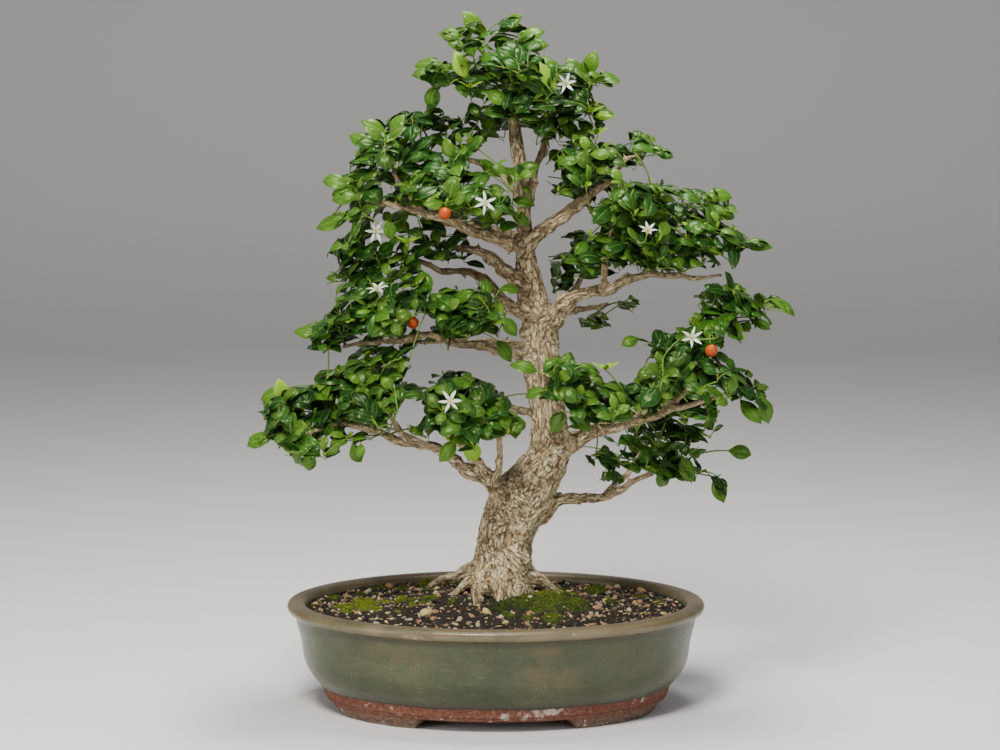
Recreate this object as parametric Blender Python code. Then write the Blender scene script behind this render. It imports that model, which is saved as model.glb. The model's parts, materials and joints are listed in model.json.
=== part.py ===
"""Orange jasmine bonsai in an oval glazed pot, for Blender 4.5.

Lengths are metres, +Z is up and the front faces -Y. The tree is laid out from its photograph: a place on it is a
pixel column, a pixel row and a depth in metres behind the middle of the pot, which seen() turns into a point.
"""

import math
import random

import bmesh
import bpy
from mathutils import Matrix, Vector
from mathutils.bvhtree import BVHTree

# Driving dimensions of the pot.
POT_LENGTH = 0.405
POT_WIDTH = 0.304
POT_SEGMENTS = 28
POT_SKIN = [  # how far each ring lies inside the rim's oval, and its height, from under the pot up and over the rim
    (0.0460, 0.0145), (0.0440, 0.0105), (0.0365, 0.0105), (0.0340, 0.0230), (0.0325, 0.0242), (0.0225, 0.0360),
    (0.0168, 0.0480), (0.0140, 0.0690), (0.0092, 0.0858), (0.0090, 0.0925), (0.0010, 0.0950), (0.0000, 0.1005),
    (0.0028, 0.1045), (0.0172, 0.1045), (0.0188, 0.1015), (0.0300, 0.0425), (0.0440, 0.0245),
]
FLOOR_HEIGHT = POT_SKIN[-1][1]
FOOT_ARC = (18, 65)  # degrees round the oval from the pot's long axis
FOOT_SLANT = 4  # degrees that each end of a foot leans in from top to bottom
FOOT_OUTER = (0.0380, 0.0450)  # inside the rim's oval, at the top and at the ground
FOOT_INNER = 0.0640
FOOT_TOP = 0.0150
DRAIN_X = 0.085
DRAIN_RADIUS = 0.009
MESH_CELL = 0.0060
MESH_CELLS = 5
MESH_THICKNESS = 0.0010

# Soil and the gap that keeps separate pieces apart.
GAP = 0.0003
SOIL_EDGE = 0.0975
SOIL_RISE = 0.0150
SOIL_RINGS = (0.76, 0.44)

# Leaves, stems, flowers and fruits.
LEAFLET_LENGTH = 0.0280
LEAFLET_WIDTH = 0.0150
LEAFLET_WIDEST = 0.56  # share of its length at which a leaflet is widest
LEAFLET_BASE = 0.0026
LEAFLET_ARCH = 0.16
LEAFLET_SPREAD = math.radians(64)
LEAFLET_SPACING = (0.0125, 0.0180)  # least and most room for a pair of leaflets along the rib
RIB_WIDTH = 0.0013
RIB_FOOT = 0.006  # bare length of a rib before its first leaflets
BLADE_THICKNESS = 0.00075
FROND_REACH = 0.058
FROND_ROLLS = (0, 20, -20, 40, -40, 65, -65)
CROWN_DEPTH_WEIGHT = 3.0  # the crown is wider than it is deep, so its outside faces mostly front and back
TWIG_RADII = (0.0026, 0.0015)
FROND_ROOTS = (0.30, 0.75)  # shares of a stem, from its neck to its first leaflets, where side leaves grow
STALK_RADII = (0.0008, 0.0007)
CLEARANCE = 0.0006
TWIG_BIAS = 0.55  # how strongly a twig leaves its branch early rather than late
TWIG_SIDES = 3
STEM_NECK = 0.004
FROND_POINTS = 5
BENDS = 14
BEND_STEP = 0.0022
UP = Vector((0, 0, 1))
PETALS = 6
PETAL_LENGTH = 0.0108
PETAL_HALF_WIDTH = 0.0021
PETAL_NOTCH = 0.0021
PETAL_THICKNESS = 0.0007
FRUIT_RADIUS = 0.0062
SEED = 7

# The photograph's camera, in the pot's frame.
CAMERA = Vector((0.004, -2.600, 0.5895))
CAMERA_PITCH = math.radians(5.83)
FOCAL_PIXELS = 2726
MIDDLE_PIXEL = (500, 375)

# Trunk: column, row, depth and radius.
TRUNK = [
    (503, 618, 0.000, 0.027), (503, 600, 0.000, 0.031), (503, 572, 0.002, 0.0295), (504, 547, 0.004, 0.0275),
    (508, 525, 0.005, 0.0285), (518, 503, 0.006, 0.0300), (532, 480, 0.006, 0.0250), (545, 458, 0.004, 0.0210),
    (548, 435, 0.002, 0.0190), (546, 406, -0.002, 0.0170), (542, 377, -0.004, 0.0168), (539, 350, -0.002, 0.0182),
    (538, 322, 0.002, 0.0182), (531, 297, 0.004, 0.0158), (525, 272, 0.004, 0.0158), (521, 248, 0.002, 0.0152),
    (523, 228, 0.000, 0.0098), (524, 205, 0.000, 0.0068), (522, 178, -0.002, 0.0066), (518, 152, -0.004, 0.0072),
    (514, 125, -0.004, 0.0058), (509, 95, -0.002, 0.0046), (505, 62, 0.000, 0.0030), (503, 42, 0.000, 0.0018),
]
TRUNK_SIDES = 12

# Surface roots: points and radii in metres, in the pot's frame.
ROOTS = [
    [(-0.014, 0.006, 0.1425, 0.012), (-0.032, 0.018, 0.1315, 0.009), (-0.048, 0.038, 0.1195, 0.006),
     (-0.060, 0.050, 0.1095, 0.005), (-0.072, 0.060, 0.0975, 0.003)],
    [(-0.014, -0.008, 0.1305, 0.010), (-0.030, -0.009, 0.1185, 0.006), (-0.041, -0.008, 0.1095, 0.0045),
     (-0.052, -0.009, 0.0985, 0.003)],
    [(-0.012, -0.014, 0.1345, 0.010), (-0.017, -0.032, 0.1185, 0.0062), (-0.016, -0.044, 0.1095, 0.0052),
     (-0.018, -0.054, 0.0985, 0.003)],
    [(0.004, -0.014, 0.1305, 0.012), (0.003, -0.033, 0.1145, 0.0075), (0.003, -0.044, 0.1025, 0.004)],
    [(0.018, -0.004, 0.1425, 0.013), (0.036, -0.003, 0.1265, 0.0092), (0.052, 0.009, 0.1145, 0.0064),
     (0.064, 0.017, 0.1055, 0.005), (0.074, 0.022, 0.0955, 0.003)],
    [(0.004, 0.014, 0.1385, 0.012), (0.010, 0.034, 0.1215, 0.008), (0.016, 0.052, 0.1095, 0.005),
     (0.020, 0.066, 0.0975, 0.003)],
]
ROOT_SIDES = 5

# Main branches: column, row, depth and radius, each from inside what it grows from to its tip.
BRANCHES = {
    "left_low": [
        (512, 506, 0.000, 0.0120), (488, 481, -0.010, 0.0098), (466, 470, -0.022, 0.0074), (450, 457, -0.030, 0.0060),
        (437, 449, -0.036, 0.0052), (412, 443, -0.044, 0.0046), (384, 435, -0.052, 0.0040), (364, 428, -0.056, 0.0034),
        (340, 424, -0.060, 0.0028), (318, 430, -0.066, 0.0022), (297, 437, -0.070, 0.0016)],
    "left_low_rise": [
        (412, 443, -0.044, 0.0034), (402, 431, -0.050, 0.0030), (390, 415, -0.056, 0.0024), (380, 396, -0.058, 0.0017)],
    "front_limb": [
        (490, 481, -0.010, 0.0066), (478, 462, -0.030, 0.0052), (466, 451, -0.046, 0.0044), (452, 438, -0.062, 0.0034),
        (452, 420, -0.074, 0.0022)],
    "front_twig": [
        (494, 480, -0.012, 0.0046), (500, 464, -0.026, 0.0036), (497, 440, -0.040, 0.0030), (491, 414, -0.052, 0.0020)],
    "low_back": [
        (546, 452, 0.006, 0.0080), (548, 432, 0.044, 0.0062), (532, 416, 0.082, 0.0050), (496, 408, 0.110, 0.0038),
        (456, 402, 0.126, 0.0026), (424, 400, 0.132, 0.0017)],
    "left_second": [
        (538, 364, 0.000, 0.0070), (516, 357, -0.012, 0.0056), (494, 349, -0.022, 0.0048), (460, 344, -0.032, 0.0042),
        (431, 337, -0.040, 0.0037), (403, 341, -0.044, 0.0032), (372, 343, -0.046, 0.0026), (342, 348, -0.048, 0.0018)],
    "second_back": [
        (538, 352, 0.006, 0.0066), (530, 350, 0.040, 0.0052), (502, 346, 0.074, 0.0042), (462, 344, 0.094, 0.0030),
        (424, 346, 0.104, 0.0018)],
    "left_third": [
        (530, 316, 0.000, 0.0078), (505, 303, 0.008, 0.0060), (490, 285, 0.014, 0.0048), (472, 275, 0.016, 0.0040),
        (441, 271, 0.012, 0.0034), (420, 263, 0.006, 0.0028), (396, 262, 0.000, 0.0024), (366, 264, -0.004, 0.0017)],
    "left_fourth": [
        (522, 272, 0.000, 0.0120), (503, 265, -0.012, 0.0088), (494, 252, -0.020, 0.0070), (482, 245, -0.026, 0.0060),
        (466, 231, -0.034, 0.0050), (449, 221, -0.040, 0.0043), (416, 213, -0.046, 0.0036), (383, 203, -0.046, 0.0027),
        (358, 195, -0.046, 0.0017)],
    "left_fourth_low": [
        (508, 262, -0.008, 0.0052), (482, 253, -0.006, 0.0040), (452, 250, 0.000, 0.0030), (430, 246, 0.004, 0.0018)],
    "left_fourth_rise": [
        (424, 214, -0.045, 0.0030), (404, 191, -0.044, 0.0025), (392, 166, -0.042, 0.0016)],
    "upper_back": [
        (522, 246, 0.004, 0.0070), (514, 236, 0.040, 0.0052), (484, 230, 0.072, 0.0040), (446, 228, 0.090, 0.0028),
        (420, 226, 0.096, 0.0017)],
    "left_high": [
        (523, 206, 0.000, 0.0046), (508, 185, 0.006, 0.0037), (490, 171, 0.010, 0.0031), (464, 160, 0.010, 0.0024),
        (440, 146, 0.008, 0.0016)],
    "right_upper": [
        (524, 250, 0.000, 0.0105), (540, 232, -0.008, 0.0072), (563, 220, -0.016, 0.0052), (590, 197, -0.026, 0.0038),
        (606, 185, -0.032, 0.0031), (624, 163, -0.036, 0.0023), (642, 155, -0.038, 0.0016)],
    "right_stem": [
        (523, 226, 0.000, 0.0064), (529, 195, 0.014, 0.0050), (537, 165, 0.020, 0.0042), (544, 137, 0.018, 0.0032),
        (552, 112, 0.012, 0.0022), (560, 98, 0.006, 0.0016)],
    "right_back": [
        (524, 238, 0.006, 0.0064), (536, 222, 0.040, 0.0050), (566, 204, 0.066, 0.0038), (594, 190, 0.078, 0.0024)],
    "right_mid": [
        (544, 336, 0.000, 0.0120), (558, 316, -0.006, 0.0100), (571, 300, -0.012, 0.0084), (586, 296, -0.016, 0.0074),
        (604, 292, -0.020, 0.0066), (628, 280, -0.026, 0.0050), (645, 277, -0.030, 0.0041), (672, 276, -0.034, 0.0034),
        (700, 278, -0.036, 0.0024), (722, 276, -0.036, 0.0016)],
    "right_mid_rise": [
        (604, 292, -0.020, 0.0040), (603, 266, -0.022, 0.0032), (608, 240, -0.026, 0.0024), (618, 224, -0.028, 0.0016)],
    "right_mid_outer": [
        (640, 278, -0.028, 0.0034), (662, 258, -0.022, 0.0028), (690, 240, -0.020, 0.0022), (708, 224, -0.022, 0.0016)],
    "mid_back": [
        (542, 342, 0.006, 0.0076), (552, 322, 0.042, 0.0060), (570, 300, 0.076, 0.0046), (582, 280, 0.094, 0.0030),
        (582, 264, 0.100, 0.0018)],
    "mid_back_low": [
        (556, 316, 0.052, 0.0046), (580, 312, 0.084, 0.0034), (606, 307, 0.108, 0.0018)],
    "right_low": [
        (548, 462, 0.000, 0.0120), (566, 450, -0.014, 0.0092), (580, 442, -0.024, 0.0072), (596, 433, -0.034, 0.0056),
        (622, 427, -0.044, 0.0048), (634, 423, -0.048, 0.0043), (663, 414, -0.052, 0.0036), (684, 407, -0.052, 0.0030),
        (706, 401, -0.050, 0.0024), (730, 392, -0.046, 0.0017)],
    "right_low_rise": [
        (663, 414, -0.052, 0.0030), (686, 390, -0.048, 0.0026), (704, 362, -0.042, 0.0022), (724, 334, -0.036, 0.0017)],
    "front_rise": [
        (572, 446, -0.020, 0.0040), (562, 425, -0.050, 0.0032), (556, 402, -0.074, 0.0024), (552, 386, -0.086, 0.0016)],
    "right_lowest": [
        (524, 524, 0.004, 0.0100), (545, 511, 0.006, 0.0080), (560, 499, 0.010, 0.0062), (590, 497, 0.022, 0.0050),
        (610, 495, 0.028, 0.0046), (634, 481, 0.030, 0.0036), (654, 472, 0.028, 0.0029), (682, 466, 0.020, 0.0018)],
    "right_lowest_back": [
        (606, 496, 0.028, 0.0036), (626, 478, 0.062, 0.0031), (642, 458, 0.096, 0.0025), (656, 444, 0.118, 0.0017)],
    "right_rear": [
        (552, 448, 0.006, 0.0076), (578, 438, 0.040, 0.0056), (612, 424, 0.074, 0.0042), (646, 412, 0.096, 0.0030),
        (672, 404, 0.104, 0.0018)],
    "apex_left": [
        (511, 108, -0.002, 0.0036), (492, 92, -0.008, 0.0028), (472, 82, -0.012, 0.0017)],
    "apex_rear": [
        (514, 128, 0.000, 0.0040), (516, 108, 0.020, 0.0030), (520, 90, 0.032, 0.0017)],
}
BRANCH_SIDES = (5, 4)  # of a stout branch and of a slender one
STOUT = 0.009

# Leafy sprays: the branch that carries each one, and the place of each of its shoots.
SPRAYS = {
    "left_low_tip": ("left_low", [(268, 433, -0.075), (283, 406, -0.055), (302, 449, -0.092)]),
    "left_low_outer": ("left_low", [(306, 390, -0.030), (330, 378, -0.055)]),
    "left_low_crown": ("left_low_rise", [(362, 368, -0.045), (392, 384, -0.090), (362, 408, -0.095)]),
    "left_low_under": ("left_low", [(352, 446, -0.100), (392, 418, -0.115)]),
    "left_low_rear": ("left_low", [(322, 400, 0.045), (372, 388, 0.070), (300, 430, 0.015)]),
    "front_tuft_left": ("front_limb", [(438, 383, -0.090), (450, 408, -0.105)]),
    "front_tuft_right": ("front_twig", [(480, 388, -0.075), (514, 404, -0.080)]),
    "front_tuft_low": ("front_limb", [(468, 432, -0.090)]),
    "low_back_left": ("low_back", [(404, 386, 0.150), (486, 402, 0.140)]),
    "left_second_tip": ("left_second", [(315, 331, -0.035), (334, 318, -0.060)]),
    "left_second_mid": ("left_second", [(370, 314, -0.070)]),
    "left_second_inner": ("left_second", [(412, 332, -0.082), (466, 322, -0.068)]),
    "second_back_left": ("second_back", [(436, 352, 0.130), (366, 336, 0.085)]),
    "left_third_tip": ("left_third", [(352, 238, 0.010), (360, 286, -0.030)]),
    "left_third_fore": ("left_third", [(388, 284, -0.050), (408, 246, -0.018)]),
    "left_third_inner": ("left_third", [(452, 298, -0.050)]),
    "left_fourth_tip": ("left_fourth", [(345, 216, -0.070), (362, 166, -0.020)]),
    "left_fourth_top": ("left_fourth_rise", [(390, 156, -0.060)]),
    "left_fourth_fore": ("left_fourth", [(428, 190, -0.086), (494, 190, -0.086), (458, 176, -0.060)]),
    "upper_back_left": ("upper_back", [(460, 228, 0.112), (388, 206, 0.080)]),
    "left_high_tip": ("left_high", [(402, 134, 0.002), (436, 128, 0.012)]),
    "apex_left_tip": ("apex_left", [(438, 74, -0.012), (436, 104, -0.018), (466, 58, -0.026)]),
    "apex_top": ("trunk", [(478, 30, 0.000), (506, 28, -0.006), (528, 44, -0.012)]),
    "apex_right": ("right_stem", [(582, 74, -0.012), (606, 80, 0.004), (592, 118, -0.014)]),
    "apex_front": ("trunk", [(528, 84, -0.048), (550, 74, -0.028)]),
    "apex_back": ("apex_rear", [(522, 66, 0.042), (496, 104, 0.056), (552, 98, 0.060)]),
    "right_upper_tip": ("right_upper", [(650, 144, -0.032), (648, 180, -0.070)]),
    "right_upper_top": ("right_upper", [(602, 150, -0.042), (570, 172, -0.052)]),
    "right_back_top": ("right_back", [(610, 172, 0.092), (570, 188, 0.092)]),
    "right_mid_top": ("right_mid_rise", [(652, 198, -0.038), (604, 188, -0.060)]),
    "right_mid_tip": ("right_mid_outer", [(708, 198, -0.030), (744, 242, -0.040)]),
    "right_mid_fore": ("right_mid_outer", [(652, 242, -0.072), (690, 244, -0.060)]),
    "right_mid_low": ("right_mid", [(622, 262, -0.050), (714, 260, -0.042)]),
    "right_mid_rear": ("right_mid_outer", [(676, 220, 0.055), (644, 246, 0.070)]),
    "mid_back_top": ("mid_back", [(560, 246, 0.090), (596, 236, 0.125)]),
    "mid_back_side": ("mid_back_low", [(626, 304, 0.140), (590, 322, 0.125)]),
    "right_low_tip": ("right_low_rise", [(716, 300, -0.012), (752, 298, -0.022), (776, 309, -0.030)]),
    "right_low_top": ("right_low_rise", [(650, 346, -0.062), (734, 332, -0.048)]),
    "right_low_outer": ("right_low", [(736, 370, -0.052), (754, 404, -0.056)]),
    "right_low_fore": ("right_low", [(660, 376, -0.108), (626, 412, -0.118), (704, 390, -0.100)]),
    "front_tuft_top": ("front_rise", [(535, 368, -0.102), (566, 366, -0.112)]),
    "front_tuft_side": ("right_low", [(602, 388, -0.100), (582, 410, -0.112)]),
    "right_lowest_tip": ("right_lowest", [(648, 466, -0.020), (718, 480, -0.006)]),
    "right_lowest_rear": ("right_lowest_back", [(640, 440, 0.140), (690, 434, 0.132)]),
    "right_rear_tip": ("right_rear", [(706, 396, 0.105), (662, 396, 0.130), (694, 424, 0.115)]),
}

# Flowers and fruits: the spray that carries each one, its place and the way it faces; a flower also has its turn.
FLOWERS = [
    ("apex_front", (565, 85, -0.046), (0.10, -1.00, 0.30), 10),
    ("left_fourth_fore", (485, 202, -0.112), (0.05, -1.00, 0.20), 25),
    ("left_third_fore", (376, 232, -0.060), (-0.10, -1.00, 0.15), 0),
    ("left_third_fore", (378, 290, -0.086), (-0.20, -0.45, 0.90), 15),
    ("right_mid_fore", (647, 232, -0.098), (0.10, -0.75, 0.70), 40),
    ("right_low_top", (691, 337, -0.116), (0.15, -1.00, 0.30), 20),
    ("front_tuft_left", (450, 400, -0.128), (0.10, -1.00, 0.15), 5),
]
FRUITS = [
    ("left_fourth_fore", (445, 213, -0.098), (0.10, 0.35, 0.90)),
    ("right_low_top", (711, 350, -0.104), (-0.10, 0.45, 0.90)),
    ("left_second_inner", (413, 323, -0.060), (0.20, 0.60, 0.80)),
]

COLOURS = {  # base colour, roughness
    "pot_glaze": ((0.115, 0.135, 0.085), 0.35),
    "soil_mix": ((0.050, 0.034, 0.022), 0.95),
    "drain_mesh": ((0.030, 0.030, 0.030), 0.60),
    "bark": ((0.430, 0.350, 0.250), 0.90),
    "leaf": ((0.060, 0.190, 0.030), 0.35),
    "petal": ((0.900, 0.890, 0.820), 0.50),
    "fruit": ((0.800, 0.170, 0.020), 0.30),
}


# Places and simple shapes. A shape is a list of points and a list of faces.

def seen(column, row, depth):
    """The point at this depth that the photograph shows at this pixel."""
    across = (column - MIDDLE_PIXEL[0]) / FOCAL_PIXELS
    rise = (MIDDLE_PIXEL[1] - row) / FOCAL_PIXELS
    level, fall = math.cos(CAMERA_PITCH), math.sin(CAMERA_PITCH)
    reach = (depth - CAMERA.y) / (level + fall * rise)
    return CAMERA + reach * Vector((across, level + fall * rise, level * rise - fall))


def oval_point(inset, degrees):
    """A point on the pot's oval, moved in from the rim by inset, square to the rim."""
    a, b, t = POT_LENGTH / 2, POT_WIDTH / 2, math.radians(degrees)
    outward = Vector((b * math.cos(t), a * math.sin(t), 0)).normalized()
    return Vector((a * math.cos(t), b * math.sin(t), 0)) - outward * inset


def sweep(rings):
    """Closes a run of equal rings of points, which turn left round the way they run, into one solid."""
    n, points, faces = len(rings[0]), [p for ring in rings for p in ring], []
    for i in range(len(rings) - 1):
        for k in range(n):
            a, b = i * n + k, i * n + (k + 1) % n
            faces.append((a, b, b + n, a + n))
    faces.append(tuple(range(n - 1, -1, -1)))
    faces.append(tuple(range(len(points) - n, len(points))))
    return points, faces


def tube(path, radii, sides, swell=None):
    """A tapering solid round a path. swell, if given, scales the radius by angle and ring."""
    side, rings = None, []
    for i, point in enumerate(path):
        along = (path[min(i + 1, len(path) - 1)] - path[max(i - 1, 0)]).normalized()
        side = along.orthogonal() if side is None else side - along * side.dot(along)
        side.normalize()
        other = along.cross(side)
        ring = []
        for k in range(sides):
            t = 2 * math.pi * k / sides
            radius = radii[i] * (swell(t, i) if swell else 1)
            ring.append(point + (side * math.cos(t) + other * math.sin(t)) * radius)
        rings.append(ring)
    return sweep(rings)


def split_quads(shape):
    """The same solid with its four-sided faces, which may be bent, split into triangles."""
    points, faces = shape
    return points, [corner for f in faces for corner in (((f[0], f[1], f[2]), (f[0], f[2], f[3]))
                                                          if len(f) == 4 else (f,))]


def graded(first, last, count):
    return [first + (last - first) * i / (count - 1) for i in range(count)]


def bend(start, middle, end, count):
    """Points along a curve from start to end that leans towards middle."""
    return [start * (1 - t) ** 2 + middle * 2 * t * (1 - t) + end * t ** 2 for t in graded(0, 1, count)]


def plate(sheet, triangles, outline, normal, thickness):
    """Thickens a sheet of triangles into a solid that is split alike on both faces."""
    n = len(sheet)
    points = [p + normal * h for h in (thickness / 2, -thickness / 2) for p in sheet]
    faces = list(triangles) + [(c + n, b + n, a + n) for a, b, c in triangles]
    faces += [(a + n, b + n, b, a) for a, b in zip(outline, outline[1:] + outline[:1])]
    return points, faces


def star(centre, facing, turn):
    """A flower's six narrow petals as one solid, spread flat and bent back a little at their tips."""
    spin = facing.to_track_quat("Z", "Y").to_matrix() @ Matrix.Rotation(math.radians(turn), 3, "Z")
    widest, half = 0.52 * PETAL_LENGTH, math.pi / PETALS
    swing = math.atan2(PETAL_HALF_WIDTH, widest)
    sheet = []
    for k in range(PETALS):
        for reach, angle in ((PETAL_NOTCH, -half), (widest, -swing), (PETAL_LENGTH, 0), (widest, swing)):
            t = 2 * half * k + angle
            drop = -0.10 * reach * (reach / PETAL_LENGTH) ** 2
            sheet.append(centre + spin @ Vector((reach * math.cos(t), reach * math.sin(t), drop)))
    outline = list(range(len(sheet)))
    sheet.append(centre)
    triangles = [(len(outline), a, (a + 1) % len(outline)) for a in outline]
    return plate(sheet, triangles, outline, facing, PETAL_THICKNESS)


def berry(centre, stalk_way):
    """A fruit, a little longer than it is wide."""
    turn = stalk_way.to_track_quat("Z", "Y").to_matrix()
    sides, rings = 8, []
    for degrees in (-72, -36, 0, 36, 72):
        t = math.radians(degrees)
        height, radius = 1.08 * FRUIT_RADIUS * math.sin(t), FRUIT_RADIUS * math.cos(t)
        rings.append([centre + turn @ Vector((radius * math.cos(u), radius * math.sin(u), height))
                      for u in (2 * math.pi * k / sides for k in range(sides))])
    return sweep(rings)


# Objects, materials and Booleans.

def material(name):
    colour, roughness = COLOURS[name]
    made = bpy.data.materials.new(name)
    made.use_nodes = True
    shader = made.node_tree.nodes["Principled BSDF"]
    shader.inputs["Base Color"].default_value = (*colour, 1)
    shader.inputs["Roughness"].default_value = roughness
    shader.inputs["Metallic"].default_value = 0.0
    return made


def place(name, shape, look=None, group=None):
    """Makes an object of a shape."""
    mesh = bpy.data.meshes.new(name)
    mesh.from_pydata([tuple(p) for p in shape[0]], [], shape[1])
    if look:
        mesh.materials.append(look)
    thing = bpy.data.objects.new(name, mesh)
    (group or bpy.context.scene.collection).objects.link(thing)
    return thing


def combine(thing, shapes, operation, solver="EXACT"):
    """Joins shapes to an object, or cuts them from it, in one Boolean, and keeps its largest body."""
    tools = bpy.data.collections.new("tools")
    bpy.context.scene.collection.children.link(tools)
    for shape in shapes:
        place("tool", shape, group=tools)
    boolean = thing.modifiers.new("combine", "BOOLEAN")
    boolean.operation = operation
    boolean.solver = solver
    boolean.operand_type = "COLLECTION"
    boolean.collection = tools
    graph = bpy.context.evaluated_depsgraph_get()
    result = bpy.data.meshes.new_from_object(thing.evaluated_get(graph))
    thing.modifiers.remove(boolean)
    for tool in list(tools.objects):
        bpy.data.objects.remove(tool)
    bpy.data.collections.remove(tools)
    thing.data = largest_body(result)
    return thing


def largest_body(mesh):
    """Drops loose scraps that a Boolean left apart, and sealed hollows."""
    work = bmesh.new()
    work.from_mesh(mesh)
    todo, bodies = set(work.faces), []
    while todo:
        body, front = [], [todo.pop()]
        while front:
            face = front.pop()
            body.append(face)
            for edge in face.edges:
                for other in edge.link_faces:
                    if other in todo:
                        todo.discard(other)
                        front.append(other)
        bodies.append(body)
    bodies.sort(key=len)
    bmesh.ops.delete(work, geom=[face for body in bodies[:-1] for face in body], context="FACES")
    bmesh.ops.recalc_face_normals(work, faces=work.faces)
    work.to_mesh(mesh)
    work.free()
    return mesh


# What is already placed, so that nothing new meets it.

def box_of(points):
    low = Vector([min(p[i] for p in points) for i in range(3)])
    high = Vector([max(p[i] for p in points) for i in range(3)])
    return low, high


def take(taken, owner, shape):
    taken.append((owner, *box_of(shape[0]), BVHTree.FromPolygons(shape[0], shape[1])))


def is_clear(taken, shape, skip=()):
    """Whether a shape meets nothing that is placed, apart from what the owners in skip have."""
    low, high = box_of(shape[0])
    tree = None
    for owner, other_low, other_high, other in taken:
        if owner in skip:
            continue
        if any(low[i] > other_high[i] or high[i] < other_low[i] for i in range(3)):
            continue
        tree = tree or BVHTree.FromPolygons(shape[0], shape[1])
        if tree.overlap(other):
            return False
    return True


def mesh_shape(thing):
    return [v.co.copy() for v in thing.data.vertices], [tuple(f.vertices) for f in thing.data.polygons]


# Pot, drainage meshes and soil.

def oval_ring(inset, height):
    lift = Vector((0, 0, height))
    return [oval_point(inset, 360 * k / POT_SEGMENTS) + lift for k in range(POT_SEGMENTS)]


def foot(mirror_x, mirror_y):
    """One cloud foot: an arc under the pot's edge, with slanting ends, sunk into the base."""
    steps, rings = 4, []
    for i in range(steps + 1):
        share = i / steps
        ring = []
        for inset, height in ((FOOT_OUTER[0], FOOT_TOP), (FOOT_OUTER[1], 0), (FOOT_INNER, 0), (FOOT_INNER, FOOT_TOP)):
            lean = FOOT_SLANT * (1 - height / FOOT_TOP)
            degrees = FOOT_ARC[0] + lean + (FOOT_ARC[1] - FOOT_ARC[0] - 2 * lean) * share
            point = oval_point(inset, degrees)
            ring.append(Vector((point.x * mirror_x, point.y * mirror_y, height)))
        rings.append(ring)
    points, faces = sweep(rings)
    if mirror_x * mirror_y < 0:
        faces = [face[::-1] for face in faces]
    return points, faces


def build_pot(look):
    body = sweep([oval_ring(inset, height) for inset, height in POT_SKIN])
    pot = combine(place("pot", body, look), [foot(x, y) for x in (-1, 1) for y in (-1, 1)], "UNION")
    drains = []
    for x in (-DRAIN_X, DRAIN_X):
        drains.append(tube([Vector((x, 0, 0.001)), Vector((x, 0, FLOOR_HEIGHT + 0.01))], [DRAIN_RADIUS] * 2, 12))
    return combine(pot, drains, "DIFFERENCE")


def drain_mesh(x):
    """A square pad of mesh, lying on the pot's floor over a drainage hole."""
    n, low = MESH_CELLS, FLOOR_HEIGHT + GAP
    start = Vector((x - n * MESH_CELL / 2, -n * MESH_CELL / 2, low))

    def index(i, j, top):
        return (i * (n + 1) + j) * 2 + top

    points = [start + Vector((i * MESH_CELL, j * MESH_CELL, top * MESH_THICKNESS))
              for i in range(n + 1) for j in range(n + 1) for top in (0, 1)]
    solid = {(i, j) for i in range(n) for j in range(n) if not (i % 2 and j % 2)}
    faces = []
    for i, j in sorted(solid):
        corners = [(i, j), (i + 1, j), (i + 1, j + 1), (i, j + 1)]
        faces.append(tuple(index(*c, 1) for c in corners))
        faces.append(tuple(index(*c, 0) for c in reversed(corners)))
        for k, (di, dj) in enumerate(((0, -1), (1, 0), (0, 1), (-1, 0))):
            if (i + di, j + dj) not in solid:
                a, b = corners[k], corners[(k + 1) % 4]
                faces.append((index(*a, 0), index(*b, 0), index(*b, 1), index(*a, 1)))
    return points, faces


def soil_height(share, degrees):
    """Height of the soil at a share of the way from its middle to the wall: a low mound with soft lumps."""
    t = math.radians(degrees)
    lumps = 0.0012 * math.sin(3 * t + 4 * share) + 0.0009 * math.sin(5 * t - 7 * share)
    return SOIL_EDGE + SOIL_RISE * (1 - share) ** 1.3 + lumps * math.sin(math.pi * share)


def soil_edge_inset():
    """How far inside the rim's oval the pot's inner wall lies at the soil's edge."""
    (upper, high), (lower, low) = POT_SKIN[-3], POT_SKIN[-2]
    return lower + (upper - lower) * (SOIL_EDGE - low) / (high - low)


def build_soil(look, cutters):
    """Soil between the pot's walls, with holes for the trunk, the roots and the drainage meshes."""
    rings = [oval_ring(POT_SKIN[-1][0] + GAP, FLOOR_HEIGHT + GAP)]
    rings.append(oval_ring(POT_SKIN[-2][0] + GAP, POT_SKIN[-2][1]))
    edge = oval_ring(soil_edge_inset() + GAP, SOIL_EDGE)
    rings.append(edge)
    for size in SOIL_RINGS:
        rings.append([Vector((p.x * size, p.y * size, soil_height(size, 360 * k / POT_SEGMENTS)))
                      for k, p in enumerate(edge)])
    points, faces = sweep(rings)
    faces.pop()
    points.append(Vector((0, 0, soil_height(0, 0))))
    first = (len(rings) - 1) * POT_SEGMENTS
    for k in range(POT_SEGMENTS):
        faces.append((first + k, first + (k + 1) % POT_SEGMENTS, len(points) - 1))
    return combine(place("soil", split_quads((points, faces)), look), cutters, "DIFFERENCE")


# The tree's wood.

def layout(points):
    """A path and its radii, from columns, rows, depths and radii."""
    return [seen(*point[:3]) for point in points], [point[3] for point in points]


def trunk_lobes(angle, ring):
    return 1 + 0.070 * math.sin(3 * angle + 0.35 * ring) + 0.035 * math.sin(5 * angle - 0.6 * ring)


def stretched(path, extra):
    """The same path, longer by extra at both ends."""
    first = path[0] - (path[1] - path[0]).normalized() * extra
    last = path[-1] + (path[-1] - path[-2]).normalized() * extra
    return [first, *path[1:-1], last]


def trunk_shape(grow=0.0, rings=None):
    path, radii = layout(TRUNK[:rings])
    return split_quads(tube(stretched(path, grow), [r + grow for r in radii], TRUNK_SIDES, trunk_lobes))


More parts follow.
